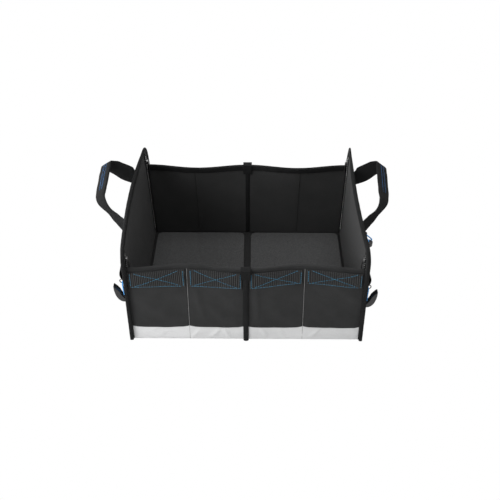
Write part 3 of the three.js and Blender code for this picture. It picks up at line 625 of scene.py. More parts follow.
def makeRimTab(wall):
    facing = walls[wall]["facing"]
    values = tabValues
    outer = walls[wall]["face"] + 1.6 + 0.9 + stripValues["depth"] + values["thickness"] / 2
    inner = walls[wall]["face"] - wallValues["thickness"] - 1.6 - values["thickness"] / 2
    roof = values["roof"] + values["thickness"] / 2
    drop = values["drop"]
    over = outer - inner
    flat = 2 * drop + over

    def place(u, v):
        x = between(-0.5, 0.5, u) * values["width"]
        run = v * flat
        if run < drop:
            y, z = outer, roof - drop + run
        elif run < drop + over:
            share = (run - drop) / over
            y = outer - (run - drop)
            z = roof + 1.2 * math.sin(math.pi * share) ** 0.5
        else:
            y, z = inner, roof - (run - drop - over)
        return Vector((x, facing * (y + 0.2 * ripple((x, run, 0), 9, 3)), z))

    bm = sheetMesh(10, 44, place, (values["width"], flat), (0, facing, 0.01))
    piece = addPiece(f"{wall}_tab_webbing", bm, webbing, [f"{wall}_rim_tab"])
    thicken(piece, values["thickness"], 0, 0.4)


# Flat tape over the seam on the inside of each wall
def makeInnerTape(wall):
    facing = walls[wall]["facing"]
    face = walls[wall]["face"] - wallValues["thickness"]

    def place(u, v):
        x = between(-0.5, 0.5, u) * stripValues["innerWidth"]
        z = between(floorValues["foot"] + floorValues["boardThickness"], wallValues["height"] - 3, v)
        raised = 0.5 + 0.8 * math.sin(math.pi * u) + 0.25 * ripple((x, z, 0), 18, 5)
        lean = walls[wall]["face"] - abs(onWall(wall, x / wallReach("right", wall, 0), z).y)
        return Vector((x, facing * (face - lean - raised), z))

    bm = sheetMesh(10, 50, place, (stripValues["innerWidth"], 210), (0, -facing, 0))
    thicken(addPiece(f"{wall}_inner_tape", bm, webbing), 0.9)


# Thin sewn line down the inside of each fold
def makeFoldSeams(wall):
    for side, sign in sides.items():
        heights = [between(8, wallValues["height"] - 12, step / 40) for step in range(41)]
        inner = wallValues["thickness"] + 0.1
        line = [onWall(wall, sign * stripValues["seamShare"][wall], z, -inner) for z in heights]
        addPiece(f"{wall}_fold_seam_{side}", tubeMesh(line, 0.8), baseCloth)


for wall in walls:
    makeInnerTape(wall)
    makeFoldSeams(wall)
    makeWall(wall)
    makeRim(wall)
    makeCentreStrip(wall)
    makeRimTab(wall)
print("walls done")

# ---- outer fabric of the front: facings, ribbed bands, kick bands and piping
frontValues = {
    "facingThickness": 1.6,
    "facingFoot": 45.3,
    "facingTop": 212.7,
    "facingSag": 2.6,
    "facingWrinkle": 2.0,
    "pipingWidth": 3,
    "centreEdge": 5.3,
}
kickValues = {"foot": 2, "height": 43, "thickness": 1.6, "wrinkle": 0.6}
bandValues = {
    "height": 47, "thickness": 1.2, "ribDepth": 1.3, "ribPitch": 4.6, "margin": 3, "base": 2.2,
    "slant": {1: -1.5, 2: -0.3, 3: 0.3, 4: 0.3},
    "footRise": {1: (5, 0), 2: (0, 2), 3: (2, 11), 4: (11, 6)},  # at the left and right ends of each band
}


def frontQuarters():
    left = wallReach("left", "front", 0)
    right = wallReach("right", "front", 0)
    fold = wallValues["foldShare"]
    piping = frontValues["pipingWidth"] / 2
    centre = frontValues["centreEdge"]
    return [
        (-1, -fold - piping / left),
        (-fold + piping / left, -centre / left),
        (centre / right, fold - piping / right),
        (fold + piping / right, 1),
    ]


# Soft folds along lines (u, v, u, v, depth, width), all as shares but the depth in millimetres
def creases(lines, u, v):
    total = 0
    for u0, v0, u1, v1, depth, width in lines:
        alongU, alongV = u1 - u0, v1 - v0
        size = alongU**2 + alongV**2
        share = min(1, max(0, ((u - u0) * alongU + (v - v0) * alongV) / size))
        apart = math.hypot(u - u0 - share * alongU, v - v0 - share * alongV)
        total += depth * math.exp(-((apart / width) ** 2)) * inside(share, 0.3)
    return total


facingCreases = {
    1: [(0.9, 0.95, 0.55, 0.1, 1.2, 0.09), (0.1, 0.7, 0.45, 0.2, 0.9, 0.1)],
    2: [(0.08, 0.85, 0.3, 0.1, 1.6, 0.07), (0.5, 0.75, 0.95, 0.3, 1.3, 0.09), (0.3, 0.5, 0.75, 0.05, 1, 0.08)],
    3: [(0.14, 0.98, 0.17, 0.05, 2.2, 0.06), (0.35, 0.7, 0.6, 0.1, 1, 0.1)],
    4: [(0.05, 0.8, 0.6, 0.6, 1.2, 0.08), (0.35, 0.85, 0.98, 0.5, 1.5, 0.07), (0.2, 0.3, 0.5, 0.02, 1, 0.09)],
}
kickCreases = {
    "kick_cloth_left": [
        (0.52, 0, 0.6, 0.9, 1.3, 0.025), (0.68, 0.1, 0.78, 0.95, 1.5, 0.022), (0.86, 0.1, 0.8, 0.9, 1.1, 0.02),
        (0.2, 0.1, 0.3, 0.8, 0.8, 0.03),
    ],
    "kick_cloth_right": [
        (0.12, 0.95, 0.2, 0.1, 1.4, 0.022), (0.28, 0.9, 0.36, 0.1, 1.1, 0.025), (0.56, 0.1, 0.66, 0.95, 1.3, 0.022),
        (0.8, 0.9, 0.88, 0.2, 1, 0.03),
    ],
    "kick_cloth_back": [(0.3, 0.9, 0.36, 0.1, 1.2, 0.02), (0.7, 0.1, 0.76, 0.9, 1.2, 0.02)],
}


def makeFacing(number, start, end):
    values = frontValues
    width = (end - start) * wallReach("right", "front", 0)

    def place(u, v):
        across = between(start, end, u)
        sag = values["facingSag"] * (math.sin(math.pi * u) ** 0.8 + 0.5 * ripple((u * width, 0, number * 9), 30, 4))
        z = between(values["facingFoot"], values["facingTop"], v) - sag * (1 - v) ** 6
        slack = inside(u, 0.18) * inside(v, 0.2)
        soft = values["facingWrinkle"] * (0.6 + ripple((u * width, z * 0.8, number * 40), 60, 1)) * slack
        soft += creases(facingCreases[number], u, v) * inside(u, 0.08) * inside(v, 0.06)
        overlap = 2.2 * (1 - v) ** 12 * inside(u, 0.1)
        return onWall("front", across, z, 0.3 + values["facingThickness"] / 2 + soft + overlap)

    bm = sheetMesh(60, 48, place, (width, 167), (0, -1, 0))
    piece = addPiece(f"front_cloth_{number}", bm, cloth, [f"front_facing_{number}"])
    thicken(piece, values["facingThickness"], 0, 0.4)


# How far a band's ribs, its slack and its crown stand out, rib being 1 on a crest
def bandProud(number, u, v, width, rib):
    values = bandValues
    droop = 0.5 * ripple((u * width, v * values["height"], number * 30), 35, 2)
    crown = 1.2 * inside(u, 0.1) * inside(v, 0.2)
    return values["base"] + values["ribDepth"] * rib + max(0, droop) + crown


def bandHeight(number, u):
    return bandValues["height"] - between(*bandValues["footRise"][number], u)


def makeBand(number, start, end):
    values = bandValues
    reach = wallReach("right", "front", 0)
    first = start + values["margin"] / reach
    last = end - values["margin"] / reach
    width = (last - first) * reach
    ribs = round(width / values["ribPitch"])
    top = frontValues["facingTop"]

    def ribAt(u, v):
        return (1 - math.cos(2 * math.pi * (ribs * u + values["slant"][number] * v))) / 2

    def place(u, v):
        across = between(first, last, u)
        z = top - bandHeight(number, u) * (1 - v)
        proud = bandProud(number, u, v, width, ribAt(u, v)) + values["thickness"] / 2
        return onWall("front", across, z, proud)

    bm = sheetMesh(ribs * 8, 10, place, (width, values["height"]), (0, -1, 0))
    # Each corner keeps its rib value, 1 on a crest, from which the band webbing's material paints shade into the
    # valleys
    uvMap = bm.loops.layers.uv["UVMap"]
    rib = bm.verts.layers.float.new("rib")
    for face in bm.faces:
        for loop in face.loops:
            u, v = loop[uvMap].uv
            loop.vert[rib] = ribAt(u * 1000 / width, v * 1000 / values["height"])
    piece = addPiece(f"front_ribs_{number}", bm, ribWebbing, [f"front_band_{number}"])
    thicken(piece, values["thickness"], 0)


def makeKickBand(name, wall, start, end, nodes):
    reach = wallReach("right", wall, 0)
    width = (end - start) * reach

    def place(u, v):
        across = between(start, end, u)
        z = between(kickValues["foot"], kickValues["foot"] + kickValues["height"], v)
        soft = kickValues["wrinkle"] * (0.5 + ripple((across * reach, z * 1.5, 0), 22, 9)) * inside(v, 0.2)
        soft += 1.15 * creases(kickCreases[name], u, v) * inside(v, 0.15) * inside(u, 0.04)
        return onWall(wall, across, z, 0.3 + kickValues["thickness"] / 2 + soft)

    columns = round(width / 2)
    bm = sheetMesh(columns, 14, place, (width, kickValues["height"]), (0, walls[wall]["facing"], 0))
    piece = addPiece(name, bm, kickCloth, nodes)
    thicken(piece, kickValues["thickness"], 0, 0.4)


for number, (start, end) in enumerate(frontQuarters(), 1):
    makeFacing(number, start, end)
    makeBand(number, start, end)
edge = 0.15 / wallReach("right", "front", 0)
makeKickBand("kick_cloth_left", "front", -1, -edge, ["kick_band_front_left"])
makeKickBand("kick_cloth_right", "front", edge, 1, ["kick_band_front_right"])
makeKickBand("kick_cloth_back", "back", -1, 1, ["kick_band_back"])


for side, sign in sides.items():
    across = sign * wallValues["foldShare"]
    heights = [between(3, frontValues["facingTop"], step / 40) for step in range(41)]
    line = [onWall("front", across, z, 1.9) for z in heights]
    addPiece(f"fold_piping_{side}", tubeMesh(line, 0.5), piping)
print("front done")


# ---- blue stitching of the ribbed bands
stitchValues = {"inset": 3.5, "foot": 2.2, "dash": 4.2, "gap": 1.6, "width": 0.7, "top": 1, "crossIn": 0.06}


def stitchBands():
    bm = bmesh.new()
    values = stitchValues
    reach = wallReach("right", "front", 0)
    height = bandValues["height"]
    foot, top = values["foot"] / height, 1 - values["top"] / height
    for number, (start, end) in enumerate(frontQuarters(), 1):
        first = start + bandValues["margin"] / reach
        last = end - bandValues["margin"] / reach
        width = (last - first) * reach
        left, right = values["inset"] / width, 1 - values["inset"] / width
        crossLeft, crossRight = left + values["crossIn"], right - values["crossIn"]
        lines = [
            (left, top, left, foot), (left, foot, right, foot), (right, foot, right, top),
            (crossLeft, top, crossRight, foot + 0.05), (crossLeft, foot + 0.05, crossRight, top),
        ]
        for u0, v0, u1, v1 in lines:
            row = []
            for step in range(49):
                u, v = between(u0, u1, step / 48), between(v0, v1, step / 48)
                proud = bandProud(number, u, v, width, 1) + bandValues["thickness"] + 0.15
                z = frontValues["facingTop"] - bandHeight(number, u) * (1 - v)
                row.append(onWall("front", between(first, last, u), z, proud))
            stitchRow(bm, row, lambda at: (0, -1, 0), values["dash"], values["gap"], values["width"])
    softenStitches(addPiece("band_stitching", bm, thread, smooth=False))


stitchBands()
print("stitching done")

# ---- floor: base sheet and felt-covered boards


def makeBaseSheet():
    values = floorValues
    front = walls["front"]["face"] - wallValues["thickness"] - 0.3
    back = walls["back"]["face"] - wallValues["thickness"] - 0.3

    def place(u, v):
        y = between(-front, back, v)
        side = "left" if u < 0.5 else "right"
        edgeX = panelMiddle(side, y, 0) - shell["panelThickness"] / 2
        x = between(-1, 1, u) * edgeX
        over = max(0, 1 - max(0, abs(x) - values["ridgeWidth"] / 2) / 2)
        soft = 0.2 * ripple((x, y, 0), 30, 4) * over
        return Vector((x, y, values["sheetThickness"] + values["ridgeHeight"] * over + soft))

    bm = sheetMesh(180, 40, place, (2 * 242, front + back), (0, 0, 1))
    extrude = bmesh.ops.extrude_face_region(bm, geom=bm.faces[:])
    low = [item for item in extrude["geom"] if isinstance(item, bmesh.types.BMVert)]
    for vert in low:
        vert.co.z = 0
    bmesh.ops.recalc_face_normals(bm, faces=bm.faces)
    addPiece("floor_cloth", bm, baseCloth, ["base_sheet"], smooth=False)


def makeBoard(side):
    values = floorValues
    bm = bmesh.new()
    bmesh.ops.create_grid(bm, x_segments=1, y_segments=1, size=0.5)
    uvMap = bm.loops.layers.uv.new("UVMap")
    low, high = values["boardGap"] / 2, values["boardEdge"]
    for vert in bm.verts:
        x = between(low, high, vert.co.x + 0.5) * 1
        vert.co = Vector((sides[side] * x, between(-values["boardFront"], values["boardBack"], vert.co.y + 0.5), values["foot"]))
    bmesh.ops.bevel(
        bm, geom=bm.verts[:], offset=values["boardRadius"], segments=8, profile=0.5, affect="VERTICES", material=-1,
    )
    raised = bmesh.ops.extrude_face_region(bm, geom=bm.faces[:])
    top = [item for item in raised["geom"] if isinstance(item, bmesh.types.BMVert)]
    bmesh.ops.translate(bm, verts=top, vec=(0, 0, values["boardThickness"]))
    bmesh.ops.recalc_face_normals(bm, faces=bm.faces)
    rim = [line for line in bm.edges if all(abs(v.co.z - values["foot"] - values["boardThickness"]) < 0.01 for v in line.verts)]
    bmesh.ops.bevel(
        bm, geom=rim, offset=values["round"], segments=4, profile=0.5, affect="EDGES", material=-1,
    )
    for face in bm.faces:
        for loop in face.loops:
            loop[uvMap].uv = (loop.vert.co.x / 1000, loop.vert.co.y / 1000)
    piece = addPiece(f"felt_board_{side}", bm, felt, [f"floor_board_{side}"], f"floor_board_{side}")
    piece.data.shade_smooth()
    smooth = piece.modifiers.new("Facets", "WEIGHTED_NORMAL")
    smooth.keep_sharp = True


makeBaseSheet()
for side in sides:
    makeBoard(side)
print("floor done")

# ---- handles: webbing that narrows into a folded and stitched grip
handleValues = {
    "rootHeight": 240, "frontRoot": 82, "backRoot": 97,
    "frontCorner": 43, "backCorner": {"left": 88, "right": 94},
    "reach": {"left": (80, 73), "right": (75, 62)},  # at the back corner and at the front one
    "frontRadius": 22, "backRadius": 6, "tilt": 37, "leanOver": 30, "gripTwist": 26, "rootGap": 1.5,
    # share of the loop from the back root to the front one, width, thickness
    "profile": [
        (0, 40, 2.4), (0.1, 46, 2.4), (0.2, 40, 2.6), (0.27, 31, 4), (0.33, 27, 6.5), (0.6, 26, 6.5),
        (0.7, 22, 6), (0.82, 14, 4), (0.9, 22, 2.8), (1, 42, 2.4),
    ],
    "stitchFrom": 0.28, "stitchTo": 0.62, "stitchSpread": 3.2, "zigzags": {"left": 8, "right": 1},
}


def handlePivot(side):
    values = handleValues
    roots = (values["backRoot"], -values["frontRoot"])
    outer = max(panelMiddle(side, y, values["rootHeight"]) for y in roots)
    return outer + shell["panelThickness"] / 2 + values["rootGap"]


# From a sewn end round a corner of the loop, towards its other corner
def curveCorner(arm, corner, other, radius):
    armEnd = corner + (arm - corner).normalized() * radius
    gripEnd = corner + (other - corner).normalized() * radius
    line = [arm.lerp(armEnd, i / 20) for i in range(20)]
    for i in range(21):
        t = i / 20
        line.append(armEnd * (1 - t) ** 2 + corner * 2 * t * (1 - t) + gripEnd * t**2)
    return line


# The loop's middle line as (reach, depth), in even steps from the back root to the front one
def handleRoute(side, steps):
    values = handleValues
    back = Vector((values["reach"][side][0], values["backCorner"][side]))
    front = Vector((values["reach"][side][1], -values["frontCorner"]))
    backLine = curveCorner(Vector((-0.7, values["backRoot"])), back, front, values["backRadius"])
    frontLine = curveCorner(Vector((-0.7, -values["frontRoot"])), front, back, values["frontRadius"])
    rough = backLine + frontLine[::-1]
    lengths = [0.0]
    for first, second in zip(rough, rough[1:]):
        lengths.append(lengths[-1] + (second - first).length)
    route = []
    index = 0
    for step in range(steps + 1):
        target = lengths[-1] * step / steps
        while index < len(rough) - 2 and lengths[index + 1] < target:
            index += 1
        span = lengths[index + 1] - lengths[index]
        route.append(rough[index].lerp(rough[index + 1], (target - lengths[index]) / span))
    return route


def profileAt(share):
    stations = handleValues["profile"]
    for first, second in zip(stations, stations[1:]):
        if share <= second[0]:
            part = smoothStep((share - first[0]) / (second[0] - first[0]))
            return between(first[1], second[1], part), between(first[2], second[2], part)
    return stations[-1][1:]


# A point of a handle: here is on its middle line, lift across the webbing and off from its face
def handlePlace(side, route, share, lift, off):
    values = handleValues
    rings = len(route) - 1
    ring = min(rings, round(share * rings))
    here = route[ring]
    ahead = (route[min(rings, ring + 1)] - route[max(0, ring - 1)]).normalized()
    along = Vector((ahead.x, ahead.y, 0))
    twist = smoothStep((share - 0.2) / 0.14) * smoothStep((0.86 - share) / 0.2)
    up = Matrix.Rotation(math.radians(values["gripTwist"]) * twist, 3, along) @ Vector((0, 0, 1))
    flat = up.cross(along)
    across = up * lift + flat * off
    tilt = math.radians(values["tilt"])
    leaned = tilt * smoothStep(here.x / values["leanOver"])
    x = handlePivot(side) + here.x * math.cos(tilt) + across.x * math.cos(leaned) - across.z * math.sin(leaned)
    z = values["rootHeight"] + here.x * math.sin(tilt) + across.x * math.sin(leaned) + across.z * math.cos(leaned)
    return Vector((sides[side] * x, here.y + across.y, z))


def makeHandle(side):
    values = handleValues
    rings, corners = 110, 24
    route = handleRoute(side, rings)
    bm = bmesh.new()
    bmesh.ops.create_grid(bm, x_segments=rings, y_segments=corners, size=0.5)
    uvMap = bm.loops.layers.uv.new("UVMap")
    for face in bm.faces:
        for loop in face.loops:
            loop[uvMap].uv = ((loop.vert.co.x + 0.5) * 0.33, (loop.vert.co.y + 0.5) * 0.06)
    for vert in bm.verts:
        share = vert.co.x + 0.5
        width, thickness = profileAt(share)
        angle = 2 * math.pi * (vert.co.y + 0.5)
        lift = math.copysign(abs(math.cos(angle)) ** 0.4, math.cos(angle)) * width / 2
        off = math.copysign(abs(math.sin(angle)) ** 0.6, math.sin(angle)) * thickness / 2
        off += 0.5 * ripple((share * 300, lift, 0), 22, sides[side] + 3)
        lift += 0.6 * ripple((share * 300, 0, 0), 25, 6)
        vert.co = handlePlace(side, route, share, lift, off)
    bmesh.ops.remove_doubles(bm, verts=bm.verts, dist=0.001)
    bmesh.ops.holes_fill(bm, edges=[line for line in bm.edges if line.is_boundary], sides=0)
    bmesh.ops.recalc_face_normals(bm, faces=bm.faces)
    piece = addPiece(f"handle_webbing_{side}", bm, webbing, [f"handle_{side}"], None)
    start = handlePlace(side, [Vector((0, 0))] * 2, 0, 0, 0) / 1000
    end = handlePlace(side, [Vector((22, 0))] * 2, 0, 0, 0) / 1000
    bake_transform(piece)
    stitches = bmesh.new()
    for face in (-1, 1):
        for row in (-1, 1):
            line = []
            for step in range(41):
                share = between(values["stitchFrom"], values["stitchTo"], step / 40)
                off = face * (profileAt(share)[1] / 2 + 0.15)
                line.append(handlePlace(side, route, share, row * values["stitchSpread"], off))
            middle = handlePlace(side, route, 0.45, 0, 0)
            above = handlePlace(side, route, 0.45, 0, face) - middle
            stitchRow(stitches, line, lambda at: above, 4.2, 1.4, 0.7)
        zigzag = []
        for step in range(values["zigzags"][side] + 1):
            share = between(values["stitchFrom"], values["stitchTo"], step / values["zigzags"][side])
            off = face * (profileAt(share)[1] / 2 + 0.15)
            lift = values["stitchSpread"] * (1 if step % 2 else -1)
            zigzag.append(handlePlace(side, route, share, lift, off))
        stitchRow(stitches, zigzag, lambda at: above, 3.4, 1.6, 0.5)
    stitched = addPiece(f"grip_stitching_{side}", stitches, gripThread, (), f"handle_{side}", False)
    softenStitches(stitched)


patchValues = {"foot": 219, "height": 42, "width": 42, "thickness": 1.4, "inset": 4}


# Webbing sewn to the panel behind each root of a handle
def makeHandlePatches(side):
    values = patchValues
    out = (sides[side], 0, 0)
    stitches = bmesh.new()
    for name, middle in (("back", handleValues["backRoot"]), ("front", -handleValues["frontRoot"])):

        def place(u, v):
            y = middle + between(-0.5, 0.5, u) * values["width"]
            z = values["foot"] + v * values["height"]
            soft = 0.25 * ripple((y, z, 0), 10, 4)
            return onPanel(side, y, z, 2.6 + values["thickness"] / 2 + soft * inside(u, 0.2))

        bm = sheetMesh(14, 14, place, (values["width"], values["height"]), out)
        thicken(addPiece(f"handle_patch_{name}_{side}", bm, webbing), values["thickness"], 0, 0.3)
        inset = values["inset"]
        left, right = middle - values["width"] / 2 + inset, middle + values["width"] / 2 - inset
        foot, top = values["foot"] + inset, values["foot"] + values["height"] - inset
        lines = [
            (left, foot, right, foot), (right, foot, right, top), (right, top, left, top), (left, top, left, foot),
            (left, foot, right, top), (left, top, right, foot),
        ]
        for y0, z0, y1, z1 in lines:
            row = [onPanel(side, between(y0, y1, i / 8), between(z0, z1, i / 8), 4.2) for i in range(9)]
            stitchRow(stitches, row, lambda at: out, 3.6, 1.8, 0.9)
    softenStitches(addPiece(f"patch_stitching_{side}", stitches, thread, smooth=False))


for side in sides:
    makeHandle(side)
    makeHandlePatches(side)
print("handles done")

# ---- side pockets of netting
pocketValues = {
    "width": 300, "foot": 30, "top": 213, "bulge": {"left": 12, "right": 8}, "thickness": 1.4, "hem": 3.2, "gather": 0.9, "standOff": 2.8,
}


def pocketStandOff(side, y, z):
    values = pocketValues
    round = max(0, math.cos(math.pi / 2 * y / (values["width"] / 2))) ** 0.6
    rise = min(1, max(0, (z - values["foot"]) / (values["top"] - values["foot"]))) ** 0.7
    return values["standOff"] + values["bulge"][side] * round * rise


def makePocket(side):
    values = pocketValues

    def place(u, v):
        y = between(-0.5, 0.5, u) * values["width"]
        z = between(values["foot"], values["top"], v)
        gather = values["gather"] * math.sin(u * 95 + 2 * ripple((y, z, 0), 30, 3)) * v**3
        soft = 1.2 * ripple((y, z, 0), 45, sides[side] + 2) * inside(u, 0.1) * inside(v, 0.2)
        return onPanel(side, y, z, pocketStandOff(side, y, z) + (gather + soft) * inside(u, 0.08) + 0.8)

    bm = sheetMesh(150, 40, place, (values["width"], values["top"] - values["foot"]), (sides[side], 0, 0))
    piece = addPiece(f"pocket_net_{side}", bm, net, [f"side_pocket_{side}"])
    thicken(piece, 0.8, 0)
    line = []
    for step in range(121):
        y = between(-0.5, 0.5, step / 120) * values["width"]
        gather = values["gather"] * math.sin(step / 120 * 95) * inside(step / 120, 0.08)
        line.append(onPanel(side, y, values["top"] + 1, pocketStandOff(side, y, values["top"]) + gather + 0.8))
    addPiece(f"pocket_hem_{side}", tubeMesh(line, 1.9), webbing)


for side in sides:
    makePocket(side)
print("pockets done")

# ---- corner zips
zipValues = {"inset": 8, "foot": 26, "top": 256, "pitch": 3, "tooth": (2.2, 1.5, 1.5), "tape": 16}


def makeZip(wall, side):
    values = zipValues
    facing = walls[wall]["facing"]
    y = facing * (walls[wall]["face"] - wallValues["thickness"] - 0.3 - values["inset"])
    proud = -shell["panelThickness"] / 2
    bm = bmesh.new()
    count = int((values["top"] - values["foot"]) / values["pitch"])
    for step in range(count):
        z = values["foot"] + step * values["pitch"]
        offset = 0.9 if step % 2 else -0.9
        at = onPanel(side, y + offset, z, proud - 1.1)
        size = Matrix.Diagonal((values["tooth"][2], values["tooth"][0], values["tooth"][1], 1))
        bmesh.ops.create_cube(bm, size=1, matrix=Matrix.Translation(at) @ size)
    piece = addPiece(f"zip_teeth_{wall}_{side}", bm, darkMetal if wall == "front" else metal, [f"zip_chain_{wall}_{side}"], smooth=False)
    bevel = piece.modifiers.new("Round", "BEVEL")
    bevel.width = 0.0003
    bevel.segments = 1

    def place(u, v):
        z = between(values["foot"] - 4, values["top"] + 3, v)
        at = y - facing * between(-0.5, 0.5, u) * values["tape"]
        return onPanel(side, at, z, proud - 0.25)

    bm = sheetMesh(4, 40, place, (values["tape"], values["top"]), (-sides[side], 0, 0))
    thicken(addPiece(f"zip_tape_{wall}_{side}", bm, webbing), 0.4)


for wall in walls:
    for side in sides:
        makeZip(wall, side)
        for part, finish in (("zip_slider", darkMetal), ("zip_pull", plastic)):
            node = bpy.data.objects[f"{part}_{wall}_{side}"]
            node.data.materials.clear()
            node.data.materials.append(finish)
print("zips done")

# ---- claw hooks with their straps, and the drawcord
hookValues = {
    "middle": 177, "strapWidth": 18, "strapTop": 222, "strapFoot": 182, "strapBulge": 7, "strapThickness": 2,
    "keeperFoot": 115, "keeperHeight": 12, "keeperThickness": 1.8, "drop": {"left": 0, "right": 14},
}


def makeHookStrap(side):
    values = hookValues

    def place(u, v):
        y = between(-0.5, 0.5, u) * values["strapWidth"] - values["middle"]
        z = between(values["strapFoot"], values["strapTop"], v) - values["drop"][side]
        bulge = values["strapBulge"] * max(0, math.sin(math.pi * v)) ** 0.8
        return onPanel(side, y, z, 3.8 + bulge + 0.2 * ripple((y, z, 0), 8, 2))

    bm = sheetMesh(8, 30, place, (values["strapWidth"], 46), (sides[side], 0, 0))
    piece = addPiece(f"hook_strap_{side}", bm, webbing, [f"hook_anchor_{side}"])
    thicken(piece, values["strapThickness"], 0, 0.4)

    def placeKeeper(u, v):
        y = between(-0.5, 0.5, u) * values["strapWidth"] - values["middle"]
        z = values["keeperFoot"] + v * values["keeperHeight"] - values["drop"][side]
        return onPanel(side, y, z, 2.8 + values["keeperThickness"] / 2 + 0.1 * ripple((y, z, 0), 6, 2))

    bm = sheetMesh(8, 6, placeKeeper, (values["strapWidth"], values["keeperHeight"]), (sides[side], 0, 0))
    piece = addPiece(f"hook_keeper_webbing_{side}", bm, greyWebbing, [f"hook_keeper_{side}"])
    thicken(piece, values["keeperThickness"], 0, 0.4)


elasticValues = {"diameter": 2.6, "bend": 5.2, "ringRadius": 5.5, "ringWire": 1.1, "gap": 0.3}


def panelFace(side, y, z):
    return panelMiddle(side, y, z) + shell["panelThickness"] / 2


# Points of a half turn over a peg, in the plane across the given depth
def overPeg(x, y, top):
    bend = elasticValues["bend"]
    angles = [math.pi * step / 16 for step in range(17)]
    return [Vector((x, y - bend * math.cos(a), top - bend + bend * math.sin(a))) for a in angles]


# Smooth line through points, with even small steps
def smoothLine(points, steps):
    line = []
    padded = [points[0] * 2 - points[1], *points, points[-1] * 2 - points[-2]]
    for p0, p1, p2, p3 in zip(padded, padded[1:], padded[2:], padded[3:]):
        for step in range(steps):
            t = step / steps
            line.append(
                0.5 * (2 * p1 + (p2 - p0) * t + (2 * p0 - 5 * p1 + 4 * p2 - p3) * t**2
                       + (3 * p1 - p0 - 3 * p2 + p3) * t**3)
            )
    return [*line, points[-1]]


def makeHookElastic(side):
    values = elasticValues
    drop = hookValues["drop"][side]
    middle = -hookValues["middle"]
    ringZ = hookValues["strapFoot"] - drop - values["gap"] - values["ringWire"] - values["ringRadius"]
    ringX = panelFace(side, middle, ringZ) + values["gap"] + values["ringWire"] + values["ringRadius"]
    low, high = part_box(f"hook_elastic_{side}")
    foot = Vector((sides[side] * (abs(low.x if side == "right" else high.x) * 1000 + 1.3), 0, low.z * 1000 - 7))
    top = ringZ - values["ringRadius"] + values["ringWire"] + values["gap"] + values["diameter"] / 2
    turn = overPeg(sides[side] * ringX, middle, top)
    ends = [Vector((foot.x, middle + sign * values["bend"], foot.z)) for sign in (-1, 1)]
    line = smoothLine([ends[0], *turn, ends[1]], 4)
    bm = tubeMesh(line, values["diameter"] / 2, 12)
    piece = addPiece(f"elastic_loop_{side}", bm, elastic, [f"hook_elastic_{side}"], None)
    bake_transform(piece)


cordValues = {
    "y": -66, "tabHeight": 214, "tabRadius": 3.8, "hem": 3.2, "drop": 22, "spread": 9, "lean": 12, "turn": 50,
    "lockRadius": 7.2, "straight": 3.9,
}


def makeDrawcord():
    values = cordValues
    diameter = elasticValues["diameter"]
    pocketTop = pocketValues["top"]
    mouth = panelMiddle("right", values["y"], pocketTop) + pocketStandOff("right", values["y"], pocketTop)
    tabX = mouth + values["hem"] + elasticValues["gap"] + values["tabRadius"]
    spread = values["spread"] / 2
    dome = values["lockRadius"] - math.sqrt(values["lockRadius"] ** 2 - spread**2)
    entry = values["tabHeight"] - values["drop"] + elasticValues["gap"] - dome + diameter / 2
    turn = math.radians(values["turn"])

    def strand(sign, rise):
        x = tabX + values["lean"] + sign * spread * math.sin(turn)
        return Vector((x, values["y"] + sign * spread * math.cos(turn), entry + rise))

    points = [strand(-1, 0), strand(-1, values["straight"]), *overPeg(tabX, values["y"], values["tabHeight"])]
    points += [strand(1, values["straight"]), strand(1, 0)]
    line = smoothLine(points, 6)
    length = sum((b - a).length for a, b in zip(line, line[1:])) / 1000
    piece = addPiece("pocket_cord", tubeMesh(line, diameter / 2, 12), elastic, ["drawcord"])
    path = [list(point / 1000) for point in line]
    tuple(path[0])
    print("drawcord length", round(length * 1000, 1), "mm")


for side in sides:
    makeHookStrap(side)
    makeHookElastic(side)
makeDrawcord()
finishes = {
    "hook_left": plastic, "hook_right": plastic, "hook_ring_left": plastic, "hook_ring_right": plastic,
    "cord_lock": plastic, "cord_lock_button": plastic, "cord_lock_spring": metal, "drawcord_tab": webbing,
}
for node, finish in finishes.items():
    kept = bpy.data.objects[node]
    kept.data.materials.clear()
    kept.data.materials.append(finish)
print("hooks done")


# ---- floor, lights and camera
# The camera, metal and glass see the plain white, and everything else the lit surface
def showPlain(tree, lit, plain, output):
    rays = tree.nodes.new("ShaderNodeLightPath")
    seen = rays.outputs["Is Camera Ray"]
    for ray in ("Is Glossy Ray", "Is Transmission Ray"):
        either = tree.nodes.new("ShaderNodeMath")
        either.operation = "MAXIMUM"
        link(tree, seen, either.inputs[0])
        link(tree, rays.outputs[ray], either.inputs[1])
        seen = either.outputs[0]
    mix = tree.nodes.new("ShaderNodeMixShader")
    link(tree, seen, mix.inputs["Fac"])
    link(tree, lit, mix.inputs[1])
    link(tree, plain, mix.inputs[2])
    link(tree, mix.outputs["Shader"], tree.nodes[output].inputs["Surface"])


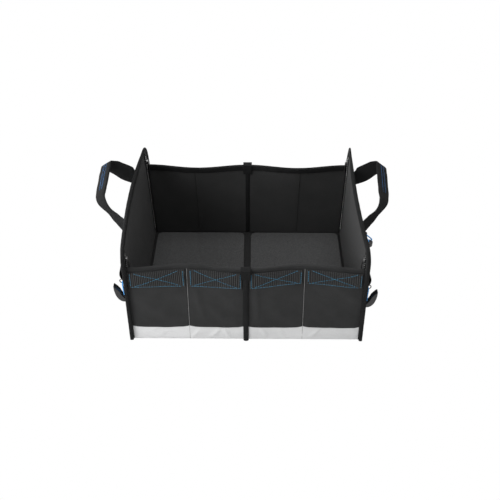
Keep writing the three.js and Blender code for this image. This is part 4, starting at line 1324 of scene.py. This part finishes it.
def makeStage():
    bm = bmesh.new()
    bmesh.ops.create_grid(bm, x_segments=1, y_segments=1, size=4)
    mesh = bpy.data.meshes.new("ground")
    bm.to_mesh(mesh)
    bm.free()
    ground = bpy.data.objects.new("ground", mesh)
    ground.location.z = -0.0002
    bpy.context.scene.collection.objects.link(ground)
    material, tree, shader = newMaterial("ground")
    shader.inputs["Base Color"].default_value = (0.8, 0.8, 0.8, 1)
    shader.inputs["Roughness"].default_value = 0.9
    showPlain(tree, shader.outputs["BSDF"], tree.nodes.new("ShaderNodeEmission").outputs["Emission"], "Material Output")
    mesh.materials.append(material)


def makeWorld():
    world = bpy.data.worlds.new("studio")
    bpy.context.scene.world = world
    world.use_nodes = True
    tree = world.node_tree
    background = tree.nodes["Background"]
    background.inputs["Color"].default_value = (1, 1, 1, 1)
    background.inputs["Strength"].default_value = 0.35
    shown = tree.nodes.new("ShaderNodeBackground")
    shown.inputs["Color"].default_value = (1, 1, 1, 1)
    showPlain(tree, background.outputs["Background"], shown.outputs["Background"], "World Output")


lampValues = [
    ("key_lamp", (-1.45, -1.1, 1.2), 1.2, 36),
    ("side_lamp", (-1.2, 0.05, 0.52), 0.3, 15),
    ("fill_lamp", (1.4, -0.8, 1.1), 1.2, 2),
    ("top_lamp", (0.0, -0.1, 2.0), 1.3, 22),
]
cameraValues = {"target": (0.0074, -0.005, 0.1057), "azimuth": 0.45, "elevation": 43, "distance": 1.565, "lens": 47.52}


def makeLamps():
    for name, place, size, power in lampValues:
        data = bpy.data.lights.new(name, "AREA")
        data.size = size
        data.energy = power
        lamp = bpy.data.objects.new(name, data)
        lamp.location = place
        towards = Vector((0, 0, 0.1)) - Vector(place)
        lamp.rotation_euler = towards.to_track_quat("-Z", "Y").to_euler()
        bpy.context.scene.collection.objects.link(lamp)


def makeCamera():
    values = cameraValues
    azimuth, elevation = math.radians(values["azimuth"]), math.radians(values["elevation"])
    back = Vector((
        math.sin(azimuth) * math.cos(elevation), -math.cos(azimuth) * math.cos(elevation), math.sin(elevation),
    ))
    data = bpy.data.cameras.new("camera")
    data.sensor_width = 36
    data.lens = values["lens"]
    camera = bpy.data.objects.new("camera", data)
    camera.location = Vector(values["target"]) + back * values["distance"]
    camera.rotation_euler = (-back).to_track_quat("-Z", "Y").to_euler()
    bpy.context.scene.collection.objects.link(camera)
    bpy.context.scene.camera = camera


makeStage()
makeWorld()
makeLamps()
makeCamera()
bpy.context.scene.view_settings.view_transform = "Standard"
print("stage done")
